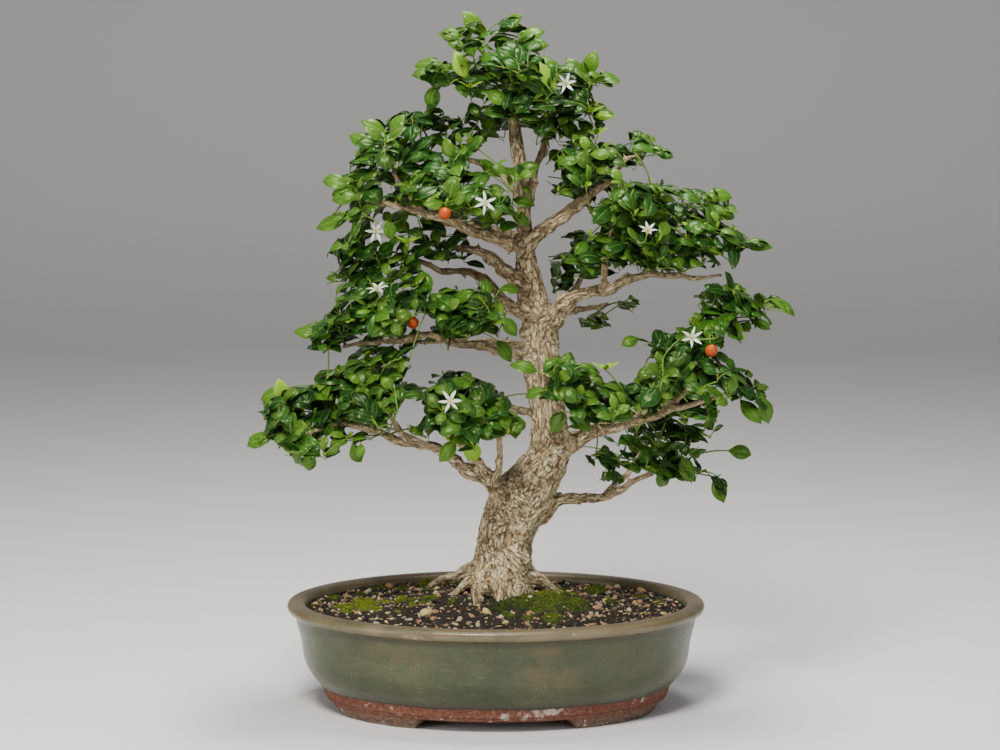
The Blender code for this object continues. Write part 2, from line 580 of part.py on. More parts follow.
def root_shapes(grow=0.0):
    shapes = []
    for root in ROOTS:
        path = stretched([Vector(point[:3]) for point in root], grow)
        shapes.append(split_quads(tube(path, [point[3] + grow for point in root], ROOT_SIDES)))
    return shapes


def fork_point(parent, target):
    """Where a twig that reaches for target leaves its branch: the place, the branch's way there and its radius."""
    path, radii = layout(TRUNK if parent == "trunk" else BRANCHES[parent])
    best, walked = None, 0
    for i in range(len(path) - 1):
        step = path[i + 1] - path[i]
        for share in (0.0, 0.25, 0.5, 0.75, 1.0):
            point = path[i] + step * share
            arc = walked + step.length * share
            cost = (target - point).length + TWIG_BIAS * arc
            if arc > 2 * radii[0] and (best is None or cost < best[0]):
                best = (cost, point, step.normalized(), radii[i] + (radii[i + 1] - radii[i]) * share)
        walked += step.length
    return best[1:]


def twig_path(name):
    """The woody twig that carries a spray, ending short of the spray's shoots."""
    parent, shoots = SPRAYS[name]
    targets = [seen(*shoot) for shoot in shoots]
    middle = sum(targets, Vector()) / len(targets)
    start, way, radius = fork_point(parent, middle)
    reach = (middle - start).length
    length = max(reach - FROND_REACH, 0.22 * reach, radius + 0.004)
    end = start + (middle - start) * (length / reach)
    path = bend(start, start + way * (0.40 * length), end, 3 if length < 0.06 else 4)
    return path, graded(min(TWIG_RADII[0], 0.85 * radius), TWIG_RADII[1], len(path))


def build_wood(look):
    """Trunk, roots, branches and twigs, which grew as one."""
    shapes = root_shapes()
    for points in BRANCHES.values():
        shapes.append(tube(*layout(points), BRANCH_SIDES[points[0][3] < STOUT]))
    for name in SPRAYS:
        shapes.append(tube(*twig_path(name), TWIG_SIDES))
    return combine(place("wood", trunk_shape(), look), shapes, "UNION")


# Leafy sprays, with their flowers and fruits.

def clear_curve(taken, rng, first, lean, end, count, radii, owner):
    """A stem's path from first to end, bent until the stem meets nothing."""
    for attempt in range(BENDS):
        push = Vector([rng.uniform(-1, 1) for _ in range(3)]) * BEND_STEP * attempt
        path = bend(first, first + lean + push, end, count)
        probe = [path[0] + (path[1] - path[0]) * 0.3, *path[1:]]
        if is_clear(taken, tube(probe, [r + CLEARANCE for r in radii], 3), skip=(owner,)):
            return path
    print("still meets something:", owner, [round(x, 3) for x in end])
    return bend(first, first + lean, end, count)


def stem_start(name):
    """The first stretch of a spray's stem, which goes on from its twig's tip, just clear of it."""
    twig, _ = twig_path(name)
    way = (twig[-1] - twig[-2]).normalized()
    onward = (way * 1.5 + (seen(*SPRAYS[name][1][0]) - twig[-1]).normalized()).normalized()
    first = twig[-1] + way * (GAP + way.cross(onward).length * RIB_WIDTH / 2)
    return [first, first + onward * STEM_NECK]


def stalk_shape(path):
    return tube(path, graded(*STALK_RADII, len(path)), 3)


def rib_shape(path):
    return tube(path, [RIB_WIDTH * 0.6] * len(path), 3)


def path_length(path):
    return sum((b - a).length for a, b in zip(path, path[1:]))


def way_at(path, share):
    """The point at a share of a path's length, and the way the path runs there."""
    lengths = [(b - a).length for a, b in zip(path, path[1:])]
    left = share * sum(lengths)
    for i, length in enumerate(lengths):
        if left <= length or i == len(lengths) - 1:
            return path[i] + (path[i + 1] - path[i]) * (left / length), (path[i + 1] - path[i]).normalized()
        left -= length


def main_rib(taken, rng, name):
    """A spray's stem, which goes on as the middle rib of its first leaf."""
    first, neck = stem_start(name)
    target = seen(*SPRAYS[name][1][0])
    way = (neck - first).normalized()
    lean = way * (0.35 * (target - neck).length) + UP * 0.003
    path = clear_curve(taken, rng, neck, lean, target, FROND_POINTS, [RIB_WIDTH] * FROND_POINTS, name)
    return [first, *path]


def side_ribs(taken, rng, name, main):
    """The middle ribs of a spray's other leaves, which grow from its stem below the first leaflets."""
    ribs = []
    marks = rib_marks(main, True)
    (low, _), (high, _) = way_at(main, marks[1]), way_at(main, marks[2])
    for shoot, share in zip(SPRAYS[name][1][1:], FROND_ROOTS):
        first = low + (high - low) * share
        target = seen(*shoot)
        onward = (target - first).normalized()
        lean = ((high - low).normalized() + onward * 1.2).normalized() * (0.35 * (target - first).length) + UP * 0.003
        ribs.append(clear_curve(taken, rng, first, lean, target, FROND_POINTS, [RIB_WIDTH] * FROND_POINTS, name))
    return ribs


def stalk_path(taken, rng, rib, end, way, owner):
    """A thin stalk from the spray's stem to end, where it arrives along way."""
    near = end - way * 0.006
    marks = rib_marks(rib, True)
    first = way_at(rib, (marks[1] + marks[2]) / 2)[0]
    lean = (near - first) * 0.5 - way * 0.006
    return [*clear_curve(taken, rng, first, lean, near, 3, graded(*STALK_RADII, 3), owner), end]


def leaf_normal(rng, rib):
    """The way that a leaf's upper side faces: up and out of the crown, square to its rib."""
    chord = (rib[-1] - rib[0]).normalized()
    facing = UP * 0.5 + Vector((rib[-1].x, CROWN_DEPTH_WEIGHT * rib[-1].y, 0)).normalized() * 0.9
    facing += Vector([rng.uniform(-1, 1) for _ in range(3)]) * 0.3
    return (facing - chord * facing.dot(chord)).normalized()


def leaflet_sheet(near_base, far_base, way, normal, size, roll, grow=0.0):
    """A leaflet's five corners, from one end of its base round to the other, with its outer half bent down."""
    base = (near_base + far_base) / 2
    across = (far_base - near_base).normalized()
    across = (across - way * across.dot(way)).normalized()
    tilted = across * math.cos(roll) + normal * math.sin(roll)
    length, half = LEAFLET_LENGTH * size, LEAFLET_WIDTH * size / 2 + grow
    middle = base + way * (LEAFLET_WIDEST * length) + normal * (0.03 * length)
    tip = base + way * (length + grow) - normal * (LEAFLET_ARCH * length)
    edge = across * grow
    return [near_base - edge, middle - tilted * half, tip, middle + tilted * half, far_base + edge]


LEAFLET_TRIANGLES = [(0, 1, 3), (0, 3, 4), (1, 2, 3)]


def rib_marks(rib, is_main):
    """Shares of a rib's length where its blade has cross lines: at both ends, at a stem's neck and by each pair."""
    total = path_length(rib)
    marks = [0.0]
    foot = RIB_FOOT
    if is_main:
        neck = (rib[1] - rib[0]).length
        marks.append(neck / total)
        foot += neck
    spacing = min(LEAFLET_SPACING[1], max(LEAFLET_SPACING[0], (total - foot) / 2))
    for back in (2, 1):
        middle = total - back * spacing
        if middle > foot - 0.001:
            marks += [(middle - LEAFLET_BASE / 2) / total, (middle + LEAFLET_BASE / 2) / total]
    return marks + [1.0]


def frond_parts(rib, is_main, normal, sizes, rolls, grow=0.0):
    """The cross lines of a leaf's rib and the corners of its leaflets, as {(line, side): corners}."""
    left = normal.cross(rib[-1] - rib[0]).normalized()
    lines = []
    for mark in rib_marks(rib, is_main):
        point, axis = way_at(rib, mark)
        half = left * (RIB_WIDTH / 2 + grow)
        lines.append((point - half, point + half, axis))
    leaflets = {}
    for i in range(2 if is_main else 1, len(lines) - 1, 2):
        for side in (-1, 1):
            index = side > 0
            way = lines[i][2] * math.cos(LEAFLET_SPREAD) + left * side * math.sin(LEAFLET_SPREAD)
            near, far = lines[i][index], lines[i + 1][index]
            leaflets[i, side] = leaflet_sheet(near, far, way, normal, sizes[len(leaflets)],
                                              rolls[len(leaflets)], grow)
    right, left, axis = lines[-1]
    leaflets[len(lines) - 1, 0] = leaflet_sheet(right, left, axis, normal, sizes[-1], rolls[-1], grow)
    return lines, leaflets


def leaflet_solid(corners, side, normal, thickness):
    order = corners[::-1] if side > 0 else corners
    return plate(order, LEAFLET_TRIANGLES, [0, 1, 2, 3, 4], normal, thickness)


def frond_solid(lines, leaflets, normal):
    """One arched blade, cut to its rib between its leaflets."""
    sheet = [p for right, left, _ in lines for p in (right, left)]
    triangles, rights, lefts = [], [], []
    last = len(lines) - 1
    for i in range(last + 1):
        if i < last:
            triangles += [(2 * i, 2 * i + 2, 2 * i + 3), (2 * i, 2 * i + 3, 2 * i + 1)]
        rights.append(2 * i)
        lefts.append(2 * i + 1)
        for side in (-1, 1, 0):
            if (i, side) not in leaflets:
                continue
            near, tip, far = len(sheet), len(sheet) + 1, len(sheet) + 2
            sheet += leaflets[i, side][1:4]
            if side > 0:
                ring = [2 * i + 3, far, tip, near, 2 * i + 1]
                lefts += [near, tip, far]
            else:
                ring = [2 * i, near, tip, far, 2 * i + 2 if side else 2 * i + 1]
                rights += [near, tip, far]
            triangles += [tuple(ring[c] for c in corner) for corner in LEAFLET_TRIANGLES]
    return plate(sheet, triangles, rights + lefts[::-1], normal, BLADE_THICKNESS)


def grow_fronds(taken, rng, name, ribs):
    """A spray's leaves, each rolled until its leaflets meet nothing; a leaflet that still would is left out."""
    fronds = []
    for k, rib in enumerate(ribs):
        owner, is_main = f"{name} {k}", k == 0
        skip = (owner, name) if is_main else (owner,)
        facing = leaf_normal(rng, rib)
        sizes = [rng.uniform(0.86, 1.06) for _ in range(5)]
        rolls = [math.radians(rng.uniform(-28, 28)) for _ in range(5)]
        chord = (rib[-1] - rib[0]).normalized()
        best = None
        for roll in FROND_ROLLS:
            normal = Matrix.Rotation(math.radians(roll), 3, chord) @ facing
            _, tests = frond_parts(rib, is_main, normal, sizes, rolls, CLEARANCE)
            kept, own = [], []
            for key, corners in tests.items():
                solid = leaflet_solid(corners, key[1], normal, BLADE_THICKNESS + 2 * CLEARANCE)
                if is_clear(own, solid) and is_clear(taken, solid, skip=skip):
                    kept.append(key)
                    take(own, owner, solid)
            if best is None or len(kept) > len(best[1]):
                best = normal, kept
            if len(kept) == len(tests):
                break
        normal, kept = best
        lines, leaflets = frond_parts(rib, is_main, normal, sizes, rolls)
        for key in kept:
            take(taken, owner, leaflet_solid(leaflets[key], key[1], normal, BLADE_THICKNESS))
        fronds.append(frond_solid(lines, {key: leaflets[key] for key in kept}, normal))
    return fronds


def build_tree_top(wood, others):
    """Stems first, then flowers and fruits on their stalks, then leaves in the room that is left."""
    rng = random.Random(SEED)
    looks = {name: material(name) for name in ("leaf", "petal", "fruit")}
    taken = []
    for thing in (wood, *others):
        take(taken, thing.name, mesh_shape(thing))
    ribs, stalks = {}, {name: [] for name in SPRAYS}
    for name in SPRAYS:
        ribs[name] = [main_rib(taken, rng, name)]
        take(taken, name, rib_shape(ribs[name][0]))
    for name in SPRAYS:
        ribs[name] += side_ribs(taken, rng, name, ribs[name][0])
        for k, rib in enumerate(ribs[name][1:], 1):
            take(taken, f"{name} {k}", rib_shape(rib))

    for i, (name, spot, facing, turn) in enumerate(FLOWERS):
        centre, facing = seen(*spot), Vector(facing).normalized()
        flower = star(centre, facing, turn)
        place(f"flower_{i + 1}", flower, looks["petal"])
        take(taken, f"flower_{i + 1}", flower)
        end = centre - facing * (PETAL_THICKNESS / 2 + GAP)
        stalks[name].append(stalk_path(taken, rng, ribs[name][0], end, facing, name))
    for i, (name, spot, way) in enumerate(FRUITS):
        centre, way = seen(*spot), Vector(way).normalized()
        fruit = berry(centre, way)
        place(f"fruit_{i + 1}", fruit, looks["fruit"])
        take(taken, f"fruit_{i + 1}", fruit)
        top = max((p - centre).dot(way) for p in fruit[0])
        stalks[name].append(stalk_path(taken, rng, ribs[name][0], centre + way * (top + GAP), -way, name))
    for name, paths in stalks.items():
        for path in paths:
            take(taken, name, stalk_shape(path))

    for name in SPRAYS:
        fronds = grow_fronds(taken, rng, name, ribs[name])
        more = [stalk_shape(path) for path in stalks[name]] + fronds[1:]
        combine(place(f"spray_{name}", fronds[0], looks["leaf"]), more, "UNION")


# The whole object.

def stand_on_origin():
    """Hangs every piece on an empty and moves it so that the whole box stands on the origin by its middle."""
    pieces = [thing for thing in bpy.context.scene.objects if thing.type == "MESH"]
    low, high = box_of([v.co for thing in pieces for v in thing.data.vertices])
    plant = bpy.data.objects.new("plant", None)
    bpy.context.scene.collection.objects.link(plant)
    for thing in pieces:
        thing.parent = plant
    plant.location = (-(low.x + high.x) / 2, -(low.y + high.y) / 2, -low.z)
    bpy.context.view_layer.update()


def main():
    for thing in list(bpy.data.objects):
        bpy.data.objects.remove(thing)
    pot = build_pot(material("pot_glaze"))
    mesh_look = material("drain_mesh")
    meshes = [drain_mesh(x) for x in (-DRAIN_X, DRAIN_X)]
    for side, shape in zip(("left", "right"), meshes):
        place(f"drain_mesh_{side}", shape, mesh_look)
    recesses = [tube([Vector((x, 0, 0.01)), Vector((x, 0, FLOOR_HEIGHT + MESH_THICKNESS + 2 * GAP))],
                     [MESH_CELL * MESH_CELLS * 0.75] * 2, 4) for x in (-DRAIN_X, DRAIN_X)]
    soil = build_soil(material("soil_mix"), [trunk_shape(GAP, 5), *root_shapes(GAP), *recesses])
    wood = build_wood(material("bark"))
    build_tree_top(wood, [pot, soil])
    stand_on_origin()


main()
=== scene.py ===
"""The finished look of the orange jasmine bonsai: bark, leaves, flowers, fruits, glazed pot, soil and moss.

Lengths are metres, +Z is up and the front faces -Y. The tree is laid out from its photograph: a place is
a pixel column, a pixel row and a depth behind the middle of the pot, which seen() turns into a point. The
tables give depths, radii and sizes in millimetres where their headings say so.
"""

import itertools
import json
import math
import random

import bmesh
import bpy
import numpy as np
from mathutils import Matrix, Vector, noise
from mathutils.kdtree import KDTree

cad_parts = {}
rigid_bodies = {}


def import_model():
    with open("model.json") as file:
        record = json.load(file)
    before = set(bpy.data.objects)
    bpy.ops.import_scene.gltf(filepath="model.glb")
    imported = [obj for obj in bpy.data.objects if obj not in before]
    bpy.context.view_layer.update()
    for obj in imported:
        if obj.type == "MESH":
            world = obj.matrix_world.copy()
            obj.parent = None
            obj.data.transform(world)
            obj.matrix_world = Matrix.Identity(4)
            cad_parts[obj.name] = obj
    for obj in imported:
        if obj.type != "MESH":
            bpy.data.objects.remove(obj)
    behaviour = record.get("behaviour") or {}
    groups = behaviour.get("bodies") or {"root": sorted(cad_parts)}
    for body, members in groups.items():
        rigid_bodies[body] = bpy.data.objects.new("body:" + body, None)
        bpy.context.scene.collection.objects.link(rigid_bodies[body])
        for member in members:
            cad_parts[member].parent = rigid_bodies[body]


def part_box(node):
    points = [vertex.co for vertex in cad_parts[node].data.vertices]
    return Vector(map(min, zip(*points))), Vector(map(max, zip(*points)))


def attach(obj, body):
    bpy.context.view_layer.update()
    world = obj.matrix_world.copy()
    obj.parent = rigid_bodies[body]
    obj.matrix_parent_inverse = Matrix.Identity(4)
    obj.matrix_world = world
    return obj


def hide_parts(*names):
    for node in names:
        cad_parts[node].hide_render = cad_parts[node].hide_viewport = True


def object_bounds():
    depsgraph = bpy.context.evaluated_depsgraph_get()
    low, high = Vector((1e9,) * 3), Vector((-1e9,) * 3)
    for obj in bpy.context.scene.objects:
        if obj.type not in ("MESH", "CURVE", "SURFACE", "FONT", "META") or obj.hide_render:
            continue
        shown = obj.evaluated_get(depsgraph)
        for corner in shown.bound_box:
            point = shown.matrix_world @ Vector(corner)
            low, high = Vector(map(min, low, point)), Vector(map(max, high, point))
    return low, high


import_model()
CAD_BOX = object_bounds()
noise.seed_set(4)  # noise_vector() takes its offsets from this seed, and from the clock without one

# The photograph's camera, in the frame of the pot's middle.
POT_LOW, POT_HIGH = (Vector(corner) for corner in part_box("pot"))
MIDDLE = Vector(((POT_LOW.x + POT_HIGH.x) / 2, (POT_LOW.y + POT_HIGH.y) / 2, 0))
CAMERA = Vector((0.004, -2.600, 0.5895))
CAMERA_PITCH = math.radians(5.83)
FOCAL_PIXELS = 2726
MIDDLE_PIXEL = (500, 375)
PHOTO_WIDTH = 1000

MM = 1000  # millimetres in a metre
UP = Vector((0, 0, 1))
TOWARDS_CAMERA = Vector((0, -1, 0))

# Trunk: column, row, and depth and radius in millimetres.
TRUNK = [
    (503, 618, 0, 27), (503, 600, 0, 31), (504, 572, 2, 29), (506, 547, 4, 27.5), (511, 525, 5, 28.2),
    (521, 503, 6, 29), (536, 480, 6, 23.6), (548, 458, 4, 21.2), (549, 435, 2, 19.2), (546, 406, -2, 17.8),
    (541, 377, -4, 18), (539, 350, -2, 18.2), (538, 322, 2, 17.2), (531, 297, 4, 14.6), (527, 272, 4, 12.2),
    (525, 250, 2, 9.8), (524, 228, 0, 7.8), (524, 205, 0, 6.6), (522, 178, -2, 6.6), (518, 152, -4, 7.2),
    (514, 125, -4, 5.8), (509, 95, -2, 4.6), (505, 62, 0, 3), (503, 42, 0, 1.8),
]
# Surface roots: points and radii in millimetres, in the pot's frame.
ROOTS = [
    [(-14, 6, 137.5, 11), (-32, 18, 126.5, 7.2), (-48, 38, 117.5, 5.4), (-60, 50, 109, 4.6),
     (-72, 60, 97.5, 3)],
    [(-14, -8, 130.5, 10), (-30, -9, 118.5, 6), (-41, -8, 109.5, 4.5), (-52, -9, 98.5, 3)],
    [(-12, -14, 134.5, 10), (-17, -32, 118.5, 6.2), (-16, -44, 109.5, 5.2), (-18, -54, 98.5, 3)],
    [(4, -14, 130.5, 12), (3, -33, 114.5, 7.5), (3, -44, 102.5, 4)],
    [(18, -4, 142.5, 13), (36, -3, 126.5, 9.2), (52, 9, 114.5, 6.4), (64, 17, 105.5, 5), (74, 22, 95.5, 3)],
    [(4, 14, 138.5, 12), (10, 34, 121.5, 8), (16, 52, 109.5, 5), (20, 66, 97.5, 3)],
]
# Main branches, each from inside what it grows from: column, row, and depth and radius in millimetres.
BRANCHES = {
    "left_low": [
        (512, 506, 0, 12), (488, 481, -10, 9.8), (466, 470, -22, 7.4), (450, 457, -30, 6),
        (437, 449, -36, 5.2), (412, 443, -44, 4.6), (384, 435, -52, 4), (364, 428, -56, 3.4),
        (340, 424, -60, 2.8), (318, 430, -66, 2.2), (297, 437, -70, 1.6)],
    "left_low_rise": [
        (412, 443, -44, 3.4), (402, 431, -50, 3), (390, 415, -56, 2.4), (380, 396, -58, 1.7)],
    "front_limb": [
        (490, 481, -10, 6.6), (478, 462, -30, 5.2), (466, 451, -46, 4.4), (452, 438, -62, 3.4),
        (452, 420, -74, 2.2)],
    "front_twig": [
        (494, 480, -12, 4.6), (500, 464, -26, 3.6), (497, 440, -40, 3), (491, 414, -52, 2)],
    "low_back": [
        (546, 452, 6, 8), (548, 432, 44, 6.2), (532, 416, 82, 5), (496, 408, 110, 3.8),
        (456, 402, 126, 2.6), (424, 400, 132, 1.7)],
    "left_second": [
        (538, 364, 0, 7), (516, 357, -12, 5.6), (494, 349, -22, 4.8), (460, 344, -32, 4.2),
        (431, 337, -40, 3.7), (403, 341, -44, 3.2), (372, 343, -46, 2.6), (342, 348, -48, 1.8)],
    "second_back": [
        (538, 352, 6, 6.6), (530, 350, 40, 5.2), (502, 346, 74, 4.2), (462, 344, 94, 3),
        (424, 346, 104, 1.8)],
    "left_third": [
        (530, 316, 0, 7.8), (505, 303, 8, 6), (490, 285, 14, 4.8), (472, 275, 16, 4), (441, 271, 12, 3.4),
        (420, 263, 6, 2.8), (396, 262, 0, 2.4), (366, 264, -4, 1.7)],
    "left_fourth": [
        (524, 250, 0, 8.2), (508, 244, -12, 6.4), (494, 241, -20, 5.6), (482, 236, -26, 5.2),
        (466, 228, -34, 4.7), (449, 220, -40, 4.3), (416, 213, -46, 3.6), (383, 203, -46, 2.7),
        (358, 195, -46, 1.7)],
    "left_fourth_low": [
        (522, 288, 0, 9.2), (506, 272, -8, 7.4), (495, 261, -8, 6), (482, 253, -6, 4.8),
        (466, 250, -3, 3.8), (452, 250, 0, 3), (430, 246, 4, 1.8)],
    "left_fourth_rise": [
        (424, 214, -45, 3), (404, 191, -44, 2.5), (392, 166, -42, 1.6)],
    "upper_back": [
        (522, 246, 4, 7), (514, 236, 40, 5.2), (484, 230, 72, 4), (446, 228, 90, 2.8), (420, 226, 96, 1.7)],
    "left_high": [
        (523, 206, 0, 4.6), (508, 185, 6, 3.7), (490, 171, 10, 3.1), (464, 160, 10, 2.4),
        (440, 146, 8, 1.6)],
    "right_upper": [
        (526, 252, 0, 8.4), (540, 233, -8, 6.2), (563, 219, -16, 4.8), (590, 197, -26, 3.8),
        (606, 185, -32, 3.1), (624, 163, -36, 2.3), (642, 155, -38, 1.6)],
    "right_stem": [
        (523, 226, 0, 6.4), (529, 195, 14, 5), (537, 165, 20, 4.2), (544, 137, 18, 3.2),
        (552, 112, 12, 2.2), (560, 98, 6, 1.6)],
    "right_back": [
        (526, 244, 6, 6), (540, 230, 40, 4.4), (566, 213, 66, 3.6), (594, 194, 78, 2.4)],
    "right_mid": [
        (544, 336, 0, 12), (558, 316, -6, 10), (571, 300, -12, 8.4), (586, 296, -16, 7.4),
        (604, 292, -20, 6.6), (628, 280, -26, 5), (645, 277, -30, 4.1), (672, 276, -34, 3.4),
        (700, 278, -36, 2.4), (722, 276, -36, 1.6)],
    "right_mid_rise": [
        (604, 292, -20, 4), (603, 266, -22, 3.2), (608, 240, -26, 2.4), (618, 224, -28, 1.6)],
    "right_mid_outer": [
        (640, 278, -28, 3.4), (662, 258, -22, 2.8), (690, 240, -20, 2.2), (708, 224, -22, 1.6)],
    "mid_back": [
        (542, 342, 6, 7.6), (552, 322, 42, 6), (570, 300, 76, 4.6), (582, 280, 94, 3), (582, 264, 100, 1.8)],
    "mid_back_low": [
        (556, 316, 52, 4.6), (580, 312, 84, 3.4), (606, 307, 108, 1.8)],
    "right_low": [
        (548, 462, 0, 12), (566, 450, -14, 9.2), (580, 442, -24, 7.2), (596, 433, -34, 5.6),
        (622, 427, -44, 4.8), (634, 423, -48, 4.3), (663, 414, -52, 3.6), (684, 407, -52, 3),
        (706, 401, -50, 2.4), (730, 392, -46, 1.7)],
    "right_low_rise": [
        (663, 414, -52, 3), (686, 390, -48, 2.6), (704, 362, -42, 2.2), (724, 334, -36, 1.7)],
    "front_rise": [
        (572, 446, -20, 4), (562, 425, -50, 3.2), (556, 402, -74, 2.4), (552, 386, -86, 1.6)],
    "right_lowest": [
        (524, 526, 4, 10), (545, 514, 6, 8), (560, 502, 10, 6.2), (590, 500, 22, 5.2), (610, 498, 28, 4.6),
        (634, 484, 30, 3.6), (654, 474, 28, 2.9), (682, 466, 20, 1.8)],
    "right_lowest_back": [
        (606, 496, 28, 3.6), (626, 478, 62, 3.1), (642, 458, 96, 2.5), (656, 444, 118, 1.7)],
    "right_rear": [
        (552, 448, 6, 7.6), (578, 438, 40, 5.6), (612, 424, 74, 4.2), (646, 412, 96, 3),
        (672, 404, 104, 1.8)],
    "apex_left": [
        (511, 108, -2, 3.6), (492, 92, -8, 2.8), (472, 82, -12, 1.7)],
    "apex_rear": [
        (514, 128, 0, 4), (516, 108, 20, 3), (520, 90, 32, 1.7)],
}
# Leafy sprays: the branch that carries each one, and its shoots as column, row and depth in millimetres.
SPRAYS = {
    "left_low_tip": ("left_low", [(268, 433, -75), (283, 406, -55), (302, 449, -92)]),
    "left_low_outer": ("left_low", [(306, 390, -30), (330, 378, -55)]),
    "left_low_crown": ("left_low_rise", [(362, 368, -45), (392, 384, -90), (362, 408, -95)]),
    "left_low_under": ("left_low", [(352, 446, -100), (392, 418, -115)]),
    "left_low_rear": ("left_low", [(322, 400, 45), (372, 388, 70), (300, 430, 15)]),
    "front_tuft_left": ("front_limb", [(438, 383, -90), (450, 408, -105)]),
    "front_tuft_right": ("front_twig", [(480, 388, -75), (514, 404, -80)]),
    "front_tuft_low": ("front_limb", [(468, 432, -90)]),
    "low_back_left": ("low_back", [(404, 386, 150), (486, 402, 140)]),
    "left_second_tip": ("left_second", [(315, 331, -35), (334, 318, -60)]),
    "left_second_mid": ("left_second", [(370, 314, -70)]),
    "left_second_inner": ("left_second", [(412, 332, -82), (466, 322, -68)]),
    "second_back_left": ("second_back", [(436, 352, 130), (366, 336, 85)]),
    "left_third_tip": ("left_third", [(352, 238, 10), (360, 286, -30)]),
    "left_third_fore": ("left_third", [(388, 284, -50), (408, 246, -18)]),
    "left_third_inner": ("left_third", [(452, 298, -50)]),
    "left_fourth_tip": ("left_fourth", [(345, 216, -70), (362, 166, -20)]),
    "left_fourth_top": ("left_fourth_rise", [(390, 156, -60)]),
    "left_fourth_fore": ("left_fourth", [(428, 190, -86), (494, 190, -86), (458, 176, -60)]),
    "upper_back_left": ("upper_back", [(460, 228, 112), (388, 206, 80)]),
    "left_high_tip": ("left_high", [(402, 134, 2), (436, 128, 12)]),
    "apex_left_tip": ("apex_left", [(438, 74, -12), (436, 104, -18), (466, 58, -26)]),
    "apex_top": ("trunk", [(478, 30, 0), (506, 28, -6), (528, 44, -12)]),
    "apex_right": ("right_stem", [(582, 74, -12), (606, 80, 4), (592, 118, -14)]),
    "apex_front": ("trunk", [(528, 84, -48), (550, 74, -28)]),
    "apex_back": ("apex_rear", [(522, 66, 42), (496, 104, 56), (552, 98, 60)]),
    "right_upper_tip": ("right_upper", [(650, 144, -32), (648, 180, -70)]),
    "right_upper_top": ("right_upper", [(602, 150, -42), (570, 172, -52)]),
    "right_back_top": ("right_back", [(610, 172, 92), (570, 188, 92)]),
    "right_mid_top": ("right_mid_rise", [(652, 198, -38), (604, 188, -60)]),
    "right_mid_tip": ("right_mid_outer", [(708, 198, -30), (744, 242, -40)]),
    "right_mid_fore": ("right_mid_outer", [(652, 242, -72), (690, 244, -60)]),
    "right_mid_low": ("right_mid", [(622, 262, -50), (714, 260, -42)]),
    "right_mid_rear": ("right_mid_outer", [(676, 220, 55), (644, 246, 70)]),
    "mid_back_top": ("mid_back", [(560, 246, 90), (596, 236, 125)]),
    "mid_back_side": ("mid_back_low", [(626, 304, 140), (590, 322, 125)]),
    "right_low_tip": ("right_low_rise", [(716, 300, -12), (752, 298, -22), (776, 309, -30)]),
    "right_low_top": ("right_low_rise", [(650, 346, -62), (734, 332, -48)]),
    "right_low_outer": ("right_low", [(736, 370, -52), (754, 404, -56)]),
    "right_low_fore": ("right_low", [(660, 376, -108), (626, 412, -118), (704, 390, -100)]),
    "front_tuft_top": ("front_rise", [(535, 368, -102), (566, 366, -112)]),
    "front_tuft_side": ("right_low", [(602, 388, -100), (582, 410, -112)]),
    "right_lowest_tip": ("right_lowest", [(648, 466, -20), (718, 480, -6)]),
    "right_lowest_rear": ("right_lowest_back", [(640, 440, 140), (690, 434, 132)]),
    "right_rear_tip": ("right_rear", [(706, 396, 105), (662, 396, 130), (694, 424, 115)]),
}
# Flowers: spray, place, the way it faces, its turn in degrees and how far it is open, from 0 to 1.
FLOWERS = [
    ("apex_front", (565, 85, -46), (0.10, -1.00, 0.30), 10, 0.62),
    ("left_fourth_fore", (485, 202, -112), (0.05, -1.00, 0.20), 25, 1.0),
    ("left_third_fore", (376, 232, -60), (-0.10, -1.00, 0.15), 0, 1.0),
    ("left_third_fore", (378, 290, -86), (-0.20, -0.45, 0.90), 15, 0.80),
    ("right_mid_fore", (647, 232, -98), (0.10, -0.75, 0.70), 40, 0.40),
    ("right_low_top", (691, 337, -116), (0.15, -1.00, 0.30), 20, 0.66),
    ("front_tuft_left", (450, 400, -128), (0.10, -1.00, 0.15), 5, 1.0),
]
# Fruits: spray, place and the way each one hangs from its stalk.
FRUITS = [
    ("left_fourth_fore", (445, 213, -98), (0.10, 0.35, 0.90)),
    ("right_low_top", (711, 350, -104), (-0.10, 0.45, 0.90)),
    ("left_second_inner", (413, 323, -60), (0.20, 0.60, 0.80)),
]

# What the part's source says of twigs, pot and soil, in metres. A row of the pot's skin is inset and height.
TWIG_RADII = (0.0026, 0.0015)
TWIG_BIAS = 0.55
FROND_REACH = 0.058
POT_LENGTH = 0.405
POT_WIDTH = 0.304
POT_SKIN = [
    (0.0460, 0.0145), (0.0440, 0.0105), (0.0365, 0.0105), (0.0340, 0.0230), (0.0325, 0.0242),
    (0.0225, 0.0360), (0.0168, 0.0480), (0.0140, 0.0690), (0.0092, 0.0858), (0.0090, 0.0925),
    (0.0010, 0.0950), (0.0000, 0.1005), (0.0028, 0.1045), (0.0172, 0.1045), (0.0188, 0.1015),
    (0.0300, 0.0425), (0.0440, 0.0245)]
FOOT_ARC = (18, 65)
FOOT_SLANT = 4
FOOT_OUTER = (0.0380, 0.0450)
FOOT_INNER = 0.0640
FOOT_TOP = 0.0150
DRAIN_X = 0.085
DRAIN_RADIUS = 0.009
SOIL_EDGE = 0.0975
SOIL_RISE = 0.0150
SOIL_LEVEL = 0.104
PETALS = 6
PETAL_LENGTH = 0.0108
FRUIT_RADIUS = 0.0057  # half a millimetre under the solid fruit's

